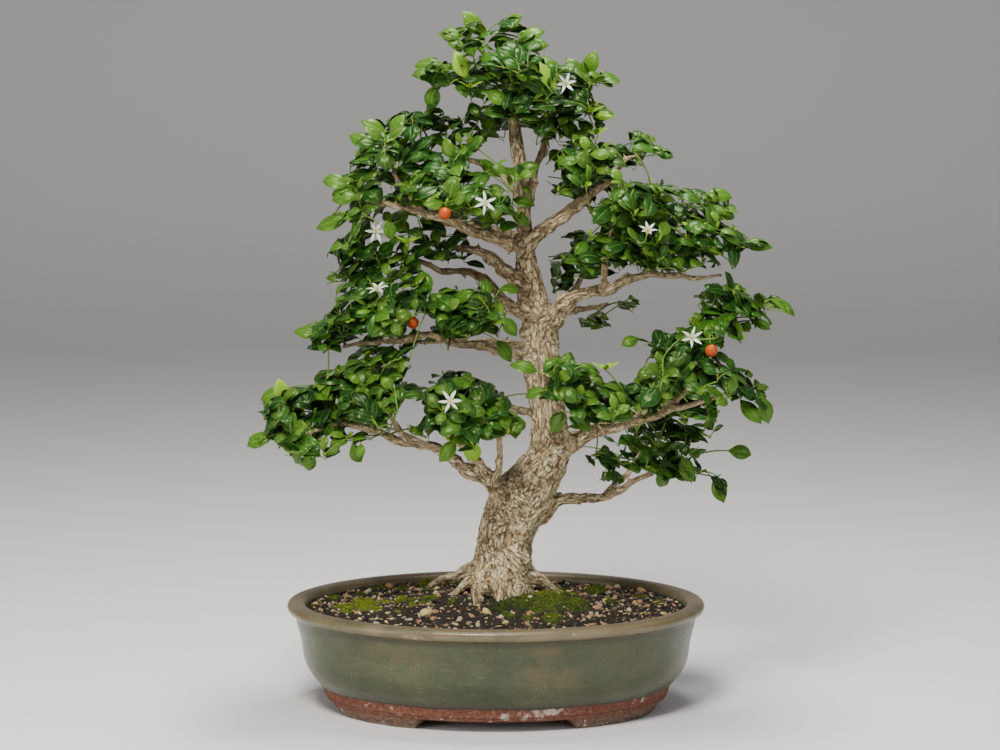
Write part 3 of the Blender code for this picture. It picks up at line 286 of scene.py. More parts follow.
# Swellings on the wood: column, row, and depth and size in millimetres.
KNOTS = [
    (506, 244, -12, 7.2), (541, 232, -10, 7.2), (553, 318, -6, 11), (490, 482, -6, 10), (531, 357, -6, 11),
    (562, 452, -10, 11), (537, 505, -8, 13), (482, 590, -40, 6.6), (480, 600, -50, 5), (548, 398, -12, 8.5),
    (523, 240, -4, 10), (526, 334, -6, 8), (555, 470, -8, 8), (500, 530, -18, 10), (522, 560, -20, 9),
]
# The crown's outline as the photograph shows it, in pixels: leaves lie within these shapes.
PADS = [
    [(440, 32), (452, 28), (462, 30), (466, 12), (482, 22), (486, 32), (496, 26), (506, 15), (521, 16),
     (520, 28), (530, 25), (546, 32), (540, 37), (548, 47), (538, 50), (532, 54), (548, 58), (560, 68),
     (566, 60), (580, 64), (596, 53), (598, 58), (592, 72), (612, 70), (623, 76), (622, 84), (612, 88),
     (600, 84), (590, 92), (598, 104), (612, 108), (616, 117), (602, 122), (590, 130), (572, 138),
     (556, 134), (548, 148), (536, 140), (528, 128), (512, 132), (500, 124), (494, 106), (484, 98),
     (470, 98), (460, 104), (456, 96), (444, 88), (436, 82), (414, 80), (416, 62), (432, 58), (446, 62),
     (450, 48), (440, 40)],
    [(423, 92), (431, 87), (439, 94), (438, 108), (432, 114), (424, 106)],
    [(504, 118), (480, 102), (470, 108), (462, 124), (456, 116), (440, 112), (410, 112), (392, 115),
     (376, 119), (362, 122), (366, 128), (350, 136), (352, 142), (362, 150), (346, 158), (352, 164),
     (360, 170), (338, 177), (322, 182), (330, 190), (332, 200), (345, 204), (352, 210), (330, 214),
     (316, 226), (330, 226), (350, 224), (352, 232), (334, 240), (330, 250), (316, 262), (330, 262),
     (342, 262), (338, 272), (322, 280), (328, 290), (336, 292), (332, 300), (336, 304), (328, 312),
     (320, 320), (300, 326), (293, 335), (306, 334), (310, 340), (306, 348), (318, 350), (326, 356),
     (340, 354), (352, 352), (350, 360), (334, 366), (322, 368), (308, 372), (306, 384), (290, 385),
     (270, 390), (261, 402), (264, 408), (256, 410), (262, 420), (270, 428), (258, 432), (245, 438),
     (248, 444), (270, 440), (280, 450), (290, 456), (292, 462), (304, 460), (302, 470), (310, 472),
     (322, 456), (336, 452), (346, 442), (350, 456), (362, 466), (368, 458), (366, 446), (362, 440),
     (385, 436), (412, 442), (440, 360), (500, 330), (530, 224), (534, 212), (532, 200), (528, 182),
     (540, 168), (536, 162), (520, 168)],
    [(412, 396), (428, 388), (430, 370), (440, 366), (448, 374), (464, 372), (478, 380), (492, 380),
     (506, 378), (505, 384), (500, 392), (512, 398), (510, 408), (506, 416), (520, 416), (526, 424),
     (524, 434), (520, 442), (508, 436), (500, 436), (480, 440), (474, 446), (482, 460), (470, 462),
     (460, 452), (448, 460), (436, 466), (432, 458), (438, 448), (426, 440), (412, 436), (400, 436),
     (404, 428), (420, 424), (426, 416), (424, 404)],
    [(546, 150), (560, 150), (574, 140), (590, 128), (600, 122), (616, 124), (624, 132), (636, 130),
     (644, 134), (660, 132), (664, 138), (650, 144), (664, 148), (676, 158), (670, 160), (648, 152),
     (642, 160), (640, 172), (624, 170), (612, 176), (606, 190), (596, 196), (580, 206), (566, 206),
     (560, 196), (548, 198), (550, 188), (560, 186), (566, 176), (556, 168), (548, 160)],
    [(581, 206), (590, 204), (604, 200), (606, 184), (616, 178), (630, 182), (640, 182), (654, 180),
     (666, 186), (680, 186), (692, 188), (700, 190), (712, 186), (726, 188), (733, 200), (720, 200),
     (716, 206), (732, 204), (740, 214), (730, 216), (716, 222), (730, 226), (742, 232), (742, 240),
     (756, 236), (772, 244), (770, 250), (756, 248), (744, 254), (732, 258), (742, 262), (746, 268),
     (738, 272), (732, 280), (716, 274), (700, 278), (680, 276), (668, 276), (652, 284), (644, 278),
     (640, 266), (630, 262), (616, 268), (606, 276), (600, 280), (580, 284), (560, 296), (546, 300),
     (550, 272), (545, 262), (544, 246), (540, 240), (556, 244), (564, 232), (580, 230), (590, 238),
     (600, 226), (590, 216)],
    [(575, 318), (590, 316), (600, 314), (612, 312), (620, 300), (632, 296), (640, 310), (634, 316),
     (622, 306), (612, 320), (608, 336), (600, 328), (592, 340), (580, 336), (578, 326)],
    [(624, 342), (634, 334), (650, 336), (652, 328), (664, 328), (680, 334), (684, 322), (690, 312),
     (700, 314), (700, 296), (704, 290), (700, 282), (716, 284), (724, 284), (740, 288), (748, 298),
     (756, 290), (764, 294), (776, 296), (784, 302), (796, 316), (788, 316), (774, 310), (764, 312),
     (770, 322), (772, 330), (756, 328), (748, 334), (746, 346), (736, 342), (728, 346), (722, 350),
     (716, 358), (730, 358), (744, 364), (748, 372), (756, 378), (770, 386), (770, 392), (760, 394),
     (774, 402), (778, 416), (770, 418), (768, 426), (758, 420), (750, 408), (740, 404), (728, 402),
     (716, 410), (718, 424), (726, 432), (728, 440), (738, 450), (752, 458), (748, 462), (734, 458),
     (722, 458), (720, 470), (726, 484), (728, 502), (722, 500), (712, 484), (700, 474), (694, 482),
     (686, 486), (676, 482), (674, 492), (664, 490), (656, 496), (650, 500), (640, 490), (636, 482),
     (624, 486), (612, 488), (602, 486), (600, 474), (606, 464), (592, 462), (580, 470), (574, 466),
     (584, 456), (600, 450), (606, 444), (596, 440), (582, 440), (568, 436), (560, 420), (548, 432),
     (546, 424), (550, 414), (560, 412), (556, 400), (530, 398), (526, 392), (534, 386), (548, 386),
     (550, 378), (540, 372), (532, 366), (510, 366), (514, 358), (532, 356), (548, 358), (556, 352),
     (574, 352), (576, 360), (590, 362), (600, 372), (612, 376), (622, 384), (632, 380), (628, 370),
     (640, 362), (652, 358), (650, 350), (640, 346)],
]
OPENINGS = [
    [(440, 352), (480, 356), (505, 372), (527, 380), (527, 415), (512, 412), (508, 380), (480, 374),
     (462, 370), (440, 364)],
    [(404, 398), (424, 406), (424, 418), (404, 426), (396, 418)],
    [(484, 148), (500, 130), (508, 130), (512, 160), (500, 160), (480, 160)],
    [(432, 276), (470, 278), (478, 286), (470, 292), (452, 286), (436, 290)],
    [(408, 348), (450, 352), (462, 366), (440, 364), (430, 368), (426, 386), (414, 392), (404, 380),
     (410, 362)],
    [(589, 128), (606, 126), (622, 134), (620, 146), (600, 146), (590, 138)],
    [(546, 232), (560, 240), (566, 234), (574, 244), (562, 258), (548, 256)],
    [(406, 214), (418, 216), (420, 230), (408, 228)],
    [(422, 314), (436, 318), (434, 332), (424, 330)],
    [(716, 440), (730, 444), (724, 470), (706, 480), (700, 462)],
]
# Leaves that stand out in the photograph, by their spray: columns and rows of base and tip, depth in
# millimetres, droop and brightness.
STAND_OUTS = [
    ("right_low_top", [
        (672, 344, 656, 336, -50, 0.4, 0.4), (680, 348, 664, 352, -56, 0.5, 0.35),
        (690, 340, 676, 330, -50, 0.4, 0.3)]),
    ("left_high_tip", [
        (516, 178, 537, 165, -28, 0.5, 0.5), (513, 200, 532, 207, -30, 0.5, 0.45),
        (511, 214, 530, 222, -34, 0.4, 0.4)]),
    ("apex_top", [
        (482, 38, 466, 13, 0, 0.2, 0.75), (499, 34, 520, 16, -6, 0.3, 0.65),
        (520, 40, 544, 31, -12, 0.5, 0.7), (521, 50, 546, 46, -16, 0.9, 0.6)]),
    ("apex_left_tip", [
        (463, 38, 440, 34, -20, 0.5, 0.6), (465, 50, 449, 40, -28, 0.4, 0.55),
        (444, 66, 416, 68, -14, 0.6, 0.6), (441, 76, 414, 78, -18, 0.6, 0.5),
        (432, 112, 431, 88, -20, 0.3, 0.55), (467, 80, 455, 54, -34, 0.3, 0.9)]),
    ("apex_top", [(505, 74, 483, 78, -30, 0.4, 0.65)]),
    ("apex_front", [(526, 84, 520, 64, -52, 0.3, 0.6), (556, 92, 541, 64, -56, 0.2, 0.95)]),
    ("apex_right", [(560, 80, 548, 60, -20, 0.3, 0.6)]),
    ("apex_front", [(505, 106, 488, 90, -48, 0.4, 0.6)]),
    ("left_high_tip", [(478, 124, 469, 106, 6, 0.3, 0.55)]),
    ("apex_right", [
        (583, 78, 566, 62, -10, 0.3, 0.6), (584, 78, 596, 54, -12, 0.3, 0.75),
        (600, 80, 622, 82, -4, 1, 0.6), (598, 80, 612, 88, 0, 0.5, 0.5),
        (594, 118, 614, 116, -14, 0.4, 0.9)]),
    ("left_fourth_top", [
        (386, 136, 363, 123, -44, 0.4, 0.6), (391, 134, 404, 116, -40, 0.3, 0.6),
        (372, 146, 350, 136, -50, 0.5, 0.6), (378, 158, 348, 160, -60, 0.6, 0.6)]),
    ("left_fourth_tip", [
        (348, 186, 324, 183, -60, 0.8, 0.6), (358, 196, 333, 200, -66, 0.6, 0.55),
        (348, 220, 317, 227, -66, 0.4, 0.55), (392, 240, 388, 222, -60, 0.4, 0.6)]),
    ("left_high_tip", [(500, 178, 481, 161, -20, 0.4, 0.5)]),
    ("right_low_top", [(638, 338, 624, 346, -60, 0.6, 0.55)]),
    ("right_low_tip", [
        (770, 300, 796, 314, -30, 0.9, 0.65), (752, 322, 770, 328, -24, 0.5, 0.55),
        (720, 288, 744, 298, -12, 0.8, 0.65)]),
    ("right_mid_tip", [
        (708, 216, 737, 213, -34, 0.5, 0.65), (704, 196, 730, 198, -30, 0.7, 0.7),
        (716, 230, 740, 238, -38, 0.6, 0.6), (742, 244, 771, 246, -40, 0.4, 0.6)]),
    ("right_low_outer", [(740, 400, 758, 424, -56, 0.4, 0.55), (762, 398, 769, 424, -60, 0.3, 0.55)]),
    ("right_lowest_tip", [
        (682, 458, 690, 484, -20, 0.2, 0.6), (640, 452, 650, 474, -24, 0.2, 0.55),
        (714, 478, 726, 502, -6, 0.2, 0.6), (728, 452, 750, 458, -6, 0.6, 0.55),
        (660, 470, 666, 490, -20, 0.2, 0.5)]),
    ("left_low_tip", [
        (290, 392, 262, 402, -56, 0.6, 0.6), (284, 402, 280, 380, -66, 0.3, 0.9),
        (272, 436, 246, 444, -76, 0.4, 0.6)]),
    ("left_low_under", [(352, 444, 362, 464, -100, 0.3, 0.55)]),
    ("left_low_tip", [(312, 452, 306, 472, -92, 0.3, 0.55), (300, 452, 293, 464, -90, 0.3, 0.5)]),
    ("front_tuft_low", [(470, 440, 474, 464, -92, 0.3, 0.95), (456, 440, 440, 462, -96, 0.4, 0.65)]),
    ("left_second_tip", [(318, 334, 295, 334, -36, 0.5, 0.6)]),
    ("left_second_inner", [
        (502, 318, 516, 335, -48, 0.4, 0.45), (475, 312, 488, 330, -70, 0.4, 0.5),
        (497, 341, 514, 359, -52, 0.4, 0.4)]),
    ("left_third_inner", [
        (488, 298, 486, 279, -48, 0.3, 0.5), (499, 291, 519, 287, -46, 0.5, 0.5),
        (454, 304, 470, 290, -56, 0.4, 0.55)]),
    ("front_tuft_top", [
        (537, 371, 511, 364, -100, 0.6, 0.6), (556, 374, 566, 354, -104, 0.3, 0.55),
        (572, 369, 598, 374, -108, 0.9, 0.55), (547, 389, 528, 398, -104, 0.7, 0.5)]),
    ("front_tuft_side", [(563, 411, 549, 431, -104, 0.3, 0.35), (578, 414, 590, 430, -108, 0.3, 0.45)]),
    ("right_low_fore", [(606, 408, 630, 420, -116, 0.5, 0.5)]),
    ("front_tuft_right", [
        (500, 424, 524, 428, -78, 0.9, 0.6), (492, 402, 512, 406, -78, 0.9, 0.5),
        (476, 436, 500, 433, -76, 0.8, 0.6)]),
]
# Small new growth, much brighter than the leaves round it: spray, column, row, depth in millimetres.
NEW_GROWTH = [
    ("apex_left_tip", 470, 85, -40), ("front_tuft_low", 455, 438, -98), ("left_low_tip", 300, 440, -94),
    ("left_second_tip", 325, 345, -50), ("right_low_fore", 605, 365, -112), ("apex_right", 590, 110, -24),
    ("apex_right", 596, 132, -18), ("right_mid_tip", 694, 226, -60), ("right_mid_tip", 716, 252, -50),
    ("left_third_fore", 408, 240, -55), ("right_low_tip", 740, 292, -30),
    ("left_fourth_top", 384, 140, -56),
]
# Branches that the photograph shows in front of their leaves, and how many of their points are kept in view.
IN_VIEW = {
    "left_low": 9, "left_low_rise": 3, "front_limb": 3, "front_twig": 3, "left_second": 8, "left_third": 6,
    "left_fourth": 8, "left_high": 4, "right_upper": 5, "right_stem": 2, "right_mid": 9, "right_mid_rise": 2,
    "right_low": 9, "right_lowest": 7, "right_low_rise": 2,
}
TRUNK_HIDDEN = ((0, 124), (158, 226), (352, 415))  # rows at which leaves hide parts of the trunk
# Shoots that stand before the trunk or close the crown beside it: column, row, depth in millimetres.
EXTRA_SHOOTS = [
    (468, 158, -40), (492, 170, -60), (510, 190, -55), (526, 176, -35), (518, 216, -40), (484, 214, -70),
    (560, 162, -45), (584, 152, -50), (557, 192, -40), (592, 216, -55), (616, 200, -60), (478, 114, 20),
    (494, 128, 30), (474, 143, 0), (541, 129, -20), (545, 118, -40), (528, 104, -40), (512, 112, -34),
    (548, 252, 60), (562, 262, 55), (577, 244, 60), (556, 284, 50), (574, 276, 55), (590, 262, 60),
    (607, 252, 0), (584, 326, 80), (604, 324, 80), (632, 300, 90), (618, 306, 80), (526, 360, -60),
    (520, 388, -60), (546, 360, -75), (562, 372, -85), (552, 402, -70), (566, 428, -60), (560, 112, 0),
    (446, 132, 10), (462, 124, 20), (470, 216, 60), (492, 300, -60), (480, 310, -70), (494, 322, -60),
    (498, 52, -20), (508, 66, -26), (512, 84, -34), (524, 124, -26), (490, 74, -24), (514, 44, -20),
    (500, 206, -50), (530, 198, -30), (478, 176, -50), (572, 182, -50), (606, 214, -50), (590, 236, -50),
    (427, 155, 0), (414, 162, -16), (438, 166, -26), (406, 150, -30), (378, 180, -40), (549, 150, 0),
    (554, 172, -14), (557, 130, -24), (568, 126, 0), (496, 224, -40), (438, 252, -24), (612, 262, -20),
    (632, 264, -24), (588, 292, 30), (620, 290, 60), (697, 326, -60), (708, 318, -30), (712, 340, -50),
    (702, 302, -20), (412, 428, -60), (590, 458, 40), (606, 478, 40), (446, 148, 0), (536, 146, -10),
    (596, 452, -20), (614, 462, 0), (580, 462, 50), (470, 96, -10), (483, 101, 0), (486, 137, 10),
    (504, 140, 12), (528, 142, 20), (531, 158, 16), (560, 140, -10), (572, 142, -16), (546, 166, -4),
    (548, 178, -10), (426, 256, -10), (446, 260, -6), (462, 258, 0), (554, 292, 40), (566, 290, 50),
    (588, 272, 30), (604, 270, 20), (622, 270, 0), (640, 270, 10), (505, 318, -40), (512, 332, -36),
    (498, 336, -44), (412, 434, -60), (426, 438, -60), (512, 424, -52), (518, 432, -50), (582, 448, 20),
    (591, 462, 30), (588, 478, 30), (602, 482, 34), (694, 296, -20), (690, 322, -50), (696, 338, -60),
    (738, 334, -40), (742, 340, -50),
]


# Places, paths and small meshes.

def seen(column, row, depth):
    """The point at this depth that the photograph shows at this pixel."""
    across = (column - MIDDLE_PIXEL[0]) / FOCAL_PIXELS
    rise = (MIDDLE_PIXEL[1] - row) / FOCAL_PIXELS
    level, fall = math.cos(CAMERA_PITCH), math.sin(CAMERA_PITCH)
    reach = (depth - CAMERA.y) / (level + fall * rise)
    return MIDDLE + CAMERA + reach * Vector((across, level + fall * rise, level * rise - fall))


def listed(column, row, depth):
    """The point of a place in a table, whose depth is in millimetres."""
    return seen(column, row, depth / MM)


def pixel(point):
    """The pixel of the photograph at which a point lies, and its depth behind the middle of the pot."""
    way = point - MIDDLE - CAMERA
    level, fall = math.cos(CAMERA_PITCH), math.sin(CAMERA_PITCH)
    reach = way.y * level - way.z * fall
    rise = way.z * level + way.y * fall
    column = MIDDLE_PIXEL[0] + FOCAL_PIXELS * way.x / reach
    return column, MIDDLE_PIXEL[1] - FOCAL_PIXELS * rise / reach, point.y - MIDDLE.y


def clamp(value, low=0.0, high=1.0):
    return max(low, min(high, value))


def smooth_step(low, high, value):
    t = clamp((value - low) / (high - low))
    return t * t * (3 - 2 * t)


def graded(first, last, count):
    return [first + (last - first) * i / (count - 1) for i in range(count)]


def scatter(rng):
    """A random step, even in each direction."""
    return Vector([rng.uniform(-1, 1) for _ in range(3)])


def swing(rng, spread):
    """A random step, small ones more often."""
    return Vector([rng.gauss(0, spread) for _ in range(3)])


def around(angle):
    """The way out and the way round at an angle about Z."""
    return Vector((math.cos(angle), math.sin(angle), 0)), Vector((-math.sin(angle), math.cos(angle), 0))


def bend(start, middle, end, count):
    """Points along a curve from start to end that leans towards middle."""
    return [start * (1 - t) ** 2 + middle * 2 * t * (1 - t) + end * t ** 2 for t in graded(0, 1, count)]


def way_at(path, share):
    """The point at a share of a path's length, and the way the path runs there."""
    left = share * sum((b - a).length for a, b in zip(path, path[1:]))
    for a, b in zip(path, path[1:]):
        step = (b - a).length
        if left <= step or b is path[-1]:
            return a + (b - a) * (left / max(step, 1e-9)), (b - a).normalized()
        left -= step


def heading(path, i):
    return (path[min(i + 1, len(path) - 1)] - path[max(i - 1, 0)]).normalized()


def rounded(path, radii, step):
    """A smooth curve through the points of a path, cut about every step, with its radii."""
    points, sizes, last = [], [], len(path) - 1
    for i in range(last):
        four = (max(i - 1, 0), i, i + 1, min(i + 2, last))
        count = max(1, round((path[i + 1] - path[i]).length / step))
        for t in (k / count for k in range(count)):
            weights = (-t + 2 * t * t - t ** 3, 2 - 5 * t * t + 3 * t ** 3,
                       t + 4 * t * t - 3 * t ** 3, -t * t + t ** 3)
            points.append(sum((path[j] * weight for j, weight in zip(four, weights)), Vector()) / 2)
            sizes.append(sum(radii[j] * weight for j, weight in zip(four, weights)) / 2)
    return points + [path[-1]], sizes + [radii[-1]]


class Shape:
    """Collects the points and faces of a mesh, and four numbers a point for its material to read."""

    def __init__(self):
        self.points, self.faces, self.marks = [], [], []

    def mark(self, *values):
        """Gives these four numbers to each point that has none yet."""
        self.marks += [values] * (len(self.points) - len(self.marks))

    def grid(self, first, rows, columns):
        """Closes rows of points with faces."""
        for i in range(rows):
            for k in range(columns):
                a = first + i * (columns + 1) + k
                self.faces.append((a, a + 1, a + columns + 2, a + columns + 1))

    def hoops(self, first, rings, sides, flip=False):
        """Closes rings of points with faces."""
        for i in range(rings):
            for k in range(sides):
                a, b = first + i * sides + k, first + i * sides + (k + 1) % sides
                if flip:
                    a, b = b, a
                self.faces.append((a, b, b + sides, a + sides))

    def tube(self, path, radii, sides, swell=None):
        side, first, last = None, len(self.points), len(path) - 1
        for i, point in enumerate(path):
            along = heading(path, i)
            side = along.orthogonal() if side is None else side - along * side.dot(along)
            side.normalize()
            other = along.cross(side)
            for k in range(sides):
                t = 2 * math.pi * k / sides
                radius = radii[i] * (swell(t, i / last) if swell else 1)
                self.points.append(point + (side * math.cos(t) + other * math.sin(t)) * radius)
        self.hoops(first, last, sides)
        end = first + last * sides
        self.faces.append(tuple(range(first + sides - 1, first - 1, -1)))
        self.faces.append(tuple(range(end, end + sides)))

    def ball(self, centre, radii, turn=None, detail=2):
        work = bmesh.new()
        bmesh.ops.create_icosphere(work, subdivisions=detail, radius=1)
        first = len(self.points)
        for vert in work.verts:
            spot = Vector(vert.co[i] * radii[i] for i in range(3))
            self.points.append(centre + (turn @ spot if turn else spot))
        self.faces += [tuple(first + v.index for v in face.verts) for face in work.faces]
        work.free()

    def mesh(self, name):
        made = bpy.data.meshes.new(name)
        made.from_pydata([tuple(p) for p in self.points], [], self.faces)
        made.update()
        if self.marks:
            paint(made, "marks", self.marks)
        return made


def paint(mesh, name, values):
    layer = mesh.color_attributes.new(name, "FLOAT_COLOR", "POINT")
    layer.data.foreach_set("color", np.asarray(values, dtype=np.float32).ravel())


def in_scene(name, data):
    thing = bpy.data.objects.new(name, data)
    bpy.context.scene.collection.objects.link(thing)
    return thing


def settle(name, mesh, look, node):
    """Puts a mesh into the scene as a piece that rides on the one body, in place of a solid node."""
    thing = in_scene(name, mesh)
    mesh.materials.clear()
    mesh.materials.append(look)
    mesh.polygons.foreach_set("use_smooth", [True] * len(mesh.polygons))
    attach(thing, "root")
    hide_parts(node)


# The tree's wood: one skin over trunk, roots, branches and twigs, with its bark raised from it.

LIMB_STEP = 0.004
ROOT_STEP = 0.003
ROOT_GIRTH = 0.86  # of the radii in the table
TUBE_SIDES = (40, 18, 10)  # of the trunk, a stout limb and a thin one
STOUT_START = 0.008
SWAYS = ((38, 0.0026), (95, 0.0014))  # how close and how wide the two kinks of a branch are
SWELLS = ((75, 0.26), (170, 0.20))  # the same for its changes of girth
STUB_CHANCE = 0.55
SKIN_GRID = 0.00125
BARK_HIGH = 0.0017
LUMPS_HIGH = 0.0020
BARK_SUNK = 0.0012
FULL_BARK_RADIUS = 0.011
SOIL_STAIN = (0.004, 0.030)  # heights over the soil between which its stain on the bark fades
TWIG_BARK = (0.0018, 0.0065)  # radii between which a twig's bark turns into a branch's
WOOD_TRIANGLES = 190000


def layout(points):
    return [listed(*point[:3]) for point in points], [point[3] / MM for point in points]


def fork_point(parent, target):
    """Where a twig to a target leaves its branch: the place, the branch's way there and its radius."""
    path, radii = layout(TRUNK if parent == "trunk" else BRANCHES[parent])
    best, walked = None, 0
    for i in range(len(path) - 1):
        step = path[i + 1] - path[i]
        for share in (0.0, 0.25, 0.5, 0.75, 1.0):
            point = path[i] + step * share
            arc = walked + step.length * share
            cost = (target - point).length + TWIG_BIAS * arc
            if arc > 2 * radii[0] and (best is None or cost < best[0]):
                best = (cost, point, step.normalized(), radii[i] + (radii[i + 1] - radii[i]) * share)
        walked += step.length
    return best[1:]


def twig_path(name):
    """The woody twig that carries a spray, ending short of the spray's shoots."""
    parent, shoots = SPRAYS[name]
    targets = [listed(*shoot) for shoot in shoots]
    middle = sum(targets, Vector()) / len(targets)
    start, way, radius = fork_point(parent, middle)
    reach = (middle - start).length
    length = max(reach - FROND_REACH, 0.22 * reach, radius + 0.004)
    end = start + (middle - start) * (length / reach)
    path = bend(start, start + way * (0.40 * length), end, 5)
    return path, graded(min(TWIG_RADII[0], 0.85 * radius), TWIG_RADII[1], len(path))


def trunk_lobes(angle, share):
    ring = share * (len(TRUNK) - 1)
    return 1 + 0.070 * math.sin(3 * angle + 0.35 * ring) + 0.035 * math.sin(5 * angle - 0.6 * ring)


def wander(path, radii):
    """Small kinks and changes of girth along a branch, which fade out at its two ends."""
    moved, sizes = [], []
    for i, point in enumerate(path):
        ends = clamp(min(i, len(path) - 1 - i) / 4)
        sway = sum((noise.noise_vector(point * often) * wide for often, wide in SWAYS), Vector())
        girth = sum((noise.noise(point * often) * wide for often, wide in SWELLS), 1)
        moved.append(point + sway * ends)
        sizes.append(radii[i] * (1 + (girth - 1) * ends))
    return moved, sizes


def wood_lines():
    """Every limb as (path, radii): the trunk, the roots, the branches, then the twigs."""
    lines = [rounded(*layout(TRUNK), LIMB_STEP)]
    for root in ROOTS:
        path = [MIDDLE + Vector([value / MM for value in point[:3]]) for point in root]
        lines.append(wander(*rounded(path, [point[3] / MM * ROOT_GIRTH for point in root], ROOT_STEP)))
    for points in BRANCHES.values():
        lines.append(wander(*rounded(*layout(points), LIMB_STEP)))
    for name in SPRAYS:
        lines.append(rounded(*twig_path(name), LIMB_STEP))
    return lines


def knots(branches):
    """Swellings where limbs fork, as (centre, radii), and the stubs of cut shoots, as (path, radii)."""
    swellings, stubs = [], []
    for column, row, depth, size in KNOTS:
        size /= MM
        swellings.append((listed(column, row, depth), (size, size * 0.8, size * 0.9)))
    rng = random.Random(5)
    for path, radii in branches:
        share = rng.uniform(0.10, 0.18)
        while share < 0.92:
            k = int(share * (len(path) - 1))
            aside, along = scatter(rng), heading(path, k)
            aside = (aside - along * aside.dot(along)).normalized()
            size = radii[k] * rng.uniform(0.84, 1.10)
            swellings.append((path[k] + aside * radii[k] * 0.48, (size, size, size * 0.85)))
            if rng.random() < STUB_CHANCE:
                length = radii[k] + rng.uniform(0.0020, 0.0055)
                way = (aside + along * rng.uniform(-0.2, 0.9) + UP * 0.3).normalized()
                thick = clamp(radii[k] * 0.42, 0.0011, 0.0024)
                stub = [path[k], path[k] + way * length * 0.6, path[k] + way * length]
                stubs.append((stub, [thick, thick, thick * 0.75]))
            share += rng.uniform(0.07, 0.15)
    return swellings, stubs


def grain_of(lines):
    """A search tree over the limbs' middles, and the way, side, radius and distance along of each middle."""
    middles = []
    for number, (path, radii) in enumerate(lines):
        side, walked = None, 0.07 * number
        for i, point in enumerate(path):
            along = heading(path, i)
            side = along.orthogonal() if side is None else side - along * side.dot(along)
            side.normalize()
            middles.append((point, along, side.copy(), radii[i], walked))
            walked += (path[min(i + 1, len(path) - 1)] - point).length
    return search_tree([middle[0] for middle in middles]), middles


def search_tree(points):
    tree = KDTree(len(points))
    for i, point in enumerate(points):
        tree.insert(point, i)
    tree.balance()
    return tree


def bark_relief(across, along):
    """Height of the bark on a limb, from -1 in the cracks to 1 on the plates, and how cracked it is."""
    warp = noise.noise_vector(Vector((across.x * 160, across.y * 160, along * 70))) * 0.75
    near, spots = noise.voronoi(across / 0.0050 + Vector((0, 0, along / 0.015)) + warp)
    crack = smooth_step(0.0, 0.24, near[1] - near[0])
    plate = noise.cell(spots[0] * 9.7)
    ridge = 1 - 2.2 * abs(noise.noise(across / 0.0034 + Vector((7, 3, along / 0.022)) + warp * 0.5))
    flakes = noise.noise(across / 0.0019 + Vector((1, 9, along / 0.0050)))
    return clamp(0.50 * (crack - 0.70) + 0.30 * (plate - 0.5) + 0.42 * ridge + 0.34 * flakes, -1, 1), crack


def evaluated(thing):
    """The mesh of an object after its modifiers; the object itself is removed."""
    made = bpy.data.meshes.new_from_object(thing.evaluated_get(bpy.context.evaluated_depsgraph_get()))
    bpy.data.objects.remove(thing)
    return made


def wood_skin(lines):
    """One smooth skin over all limbs, knots and stubs."""
    rough = Shape()
    for i, (path, radii) in enumerate(lines):
        sides = TUBE_SIDES[1] if radii[0] > STOUT_START else TUBE_SIDES[2]
        rough.tube(path, radii, sides if i else TUBE_SIDES[0], None if i else trunk_lobes)
    swellings, stubs = knots(lines[1 + len(ROOTS):1 + len(ROOTS) + len(BRANCHES)])
    for centre, radii in swellings:
        rough.ball(centre, radii)
    for path, radii in stubs:
        rough.tube(path, radii, 8)
    thing = in_scene("rough_wood", rough.mesh("rough_wood"))
    skin = thing.modifiers.new("skin", "REMESH")
    skin.mode = "VOXEL"
    skin.voxel_size = SKIN_GRID
    smooth = thing.modifiers.new("smooth", "SMOOTH")
    smooth.factor, smooth.iterations = 0.5, 2
    return evaluated(thing)


def lighter(mesh, triangles):
    """The mesh with as many triangles, dropped where the surface is plainest."""
    thing = in_scene("heavy", mesh)
    fewer = thing.modifiers.new("fewer", "DECIMATE")
    fewer.ratio = min(1, triangles / sum(len(face.vertices) - 2 for face in mesh.polygons))
    return evaluated(thing)


def build_wood(look):
    lines = wood_lines()
    mesh = wood_skin(lines)
    tree, middles = grain_of(lines)
    grain, marks, moved = [], [], []
    for vert in mesh.vertices:
        spot = vert.co
        point, along, side, radius, walked = middles[tree.find(spot)[1]]
        offset = spot - point
        arc = walked + offset.dot(along)
        offset -= along * offset.dot(along)
        reach = max(offset.length, 1e-6)
        across = Vector((offset.dot(side), offset.dot(along.cross(side)), 0)) * (max(radius, reach) / reach)
        height, crack = bark_relief(across, arc)
        lumps = noise.noise(spot * 42) * 0.6 + noise.noise(spot * 95) * 0.4
        stout = clamp(radius / FULL_BARK_RADIUS, 0.20, 1.0)
        push = (BARK_HIGH * height + LUMPS_HIGH * lumps - BARK_SUNK) * stout
        moved.append(spot + vert.normal * push)
        grain.append((across.x, across.y, arc, radius))
        low = 1 - smooth_step(*SOIL_STAIN, spot.z - SOIL_LEVEL)
        marks.append((0.5 + 0.5 * height, low, 1 - smooth_step(*TWIG_BARK, radius), 1 - crack))
    mesh.vertices.foreach_set("co", [c for p in moved for c in p])
    mesh.update()
    paint(mesh, "grain", grain)
    paint(mesh, "marks", marks)
    settle("tree_wood", lighter(mesh, WOOD_TRIANGLES), look, "wood")
    return lines


# Leafy sprays.

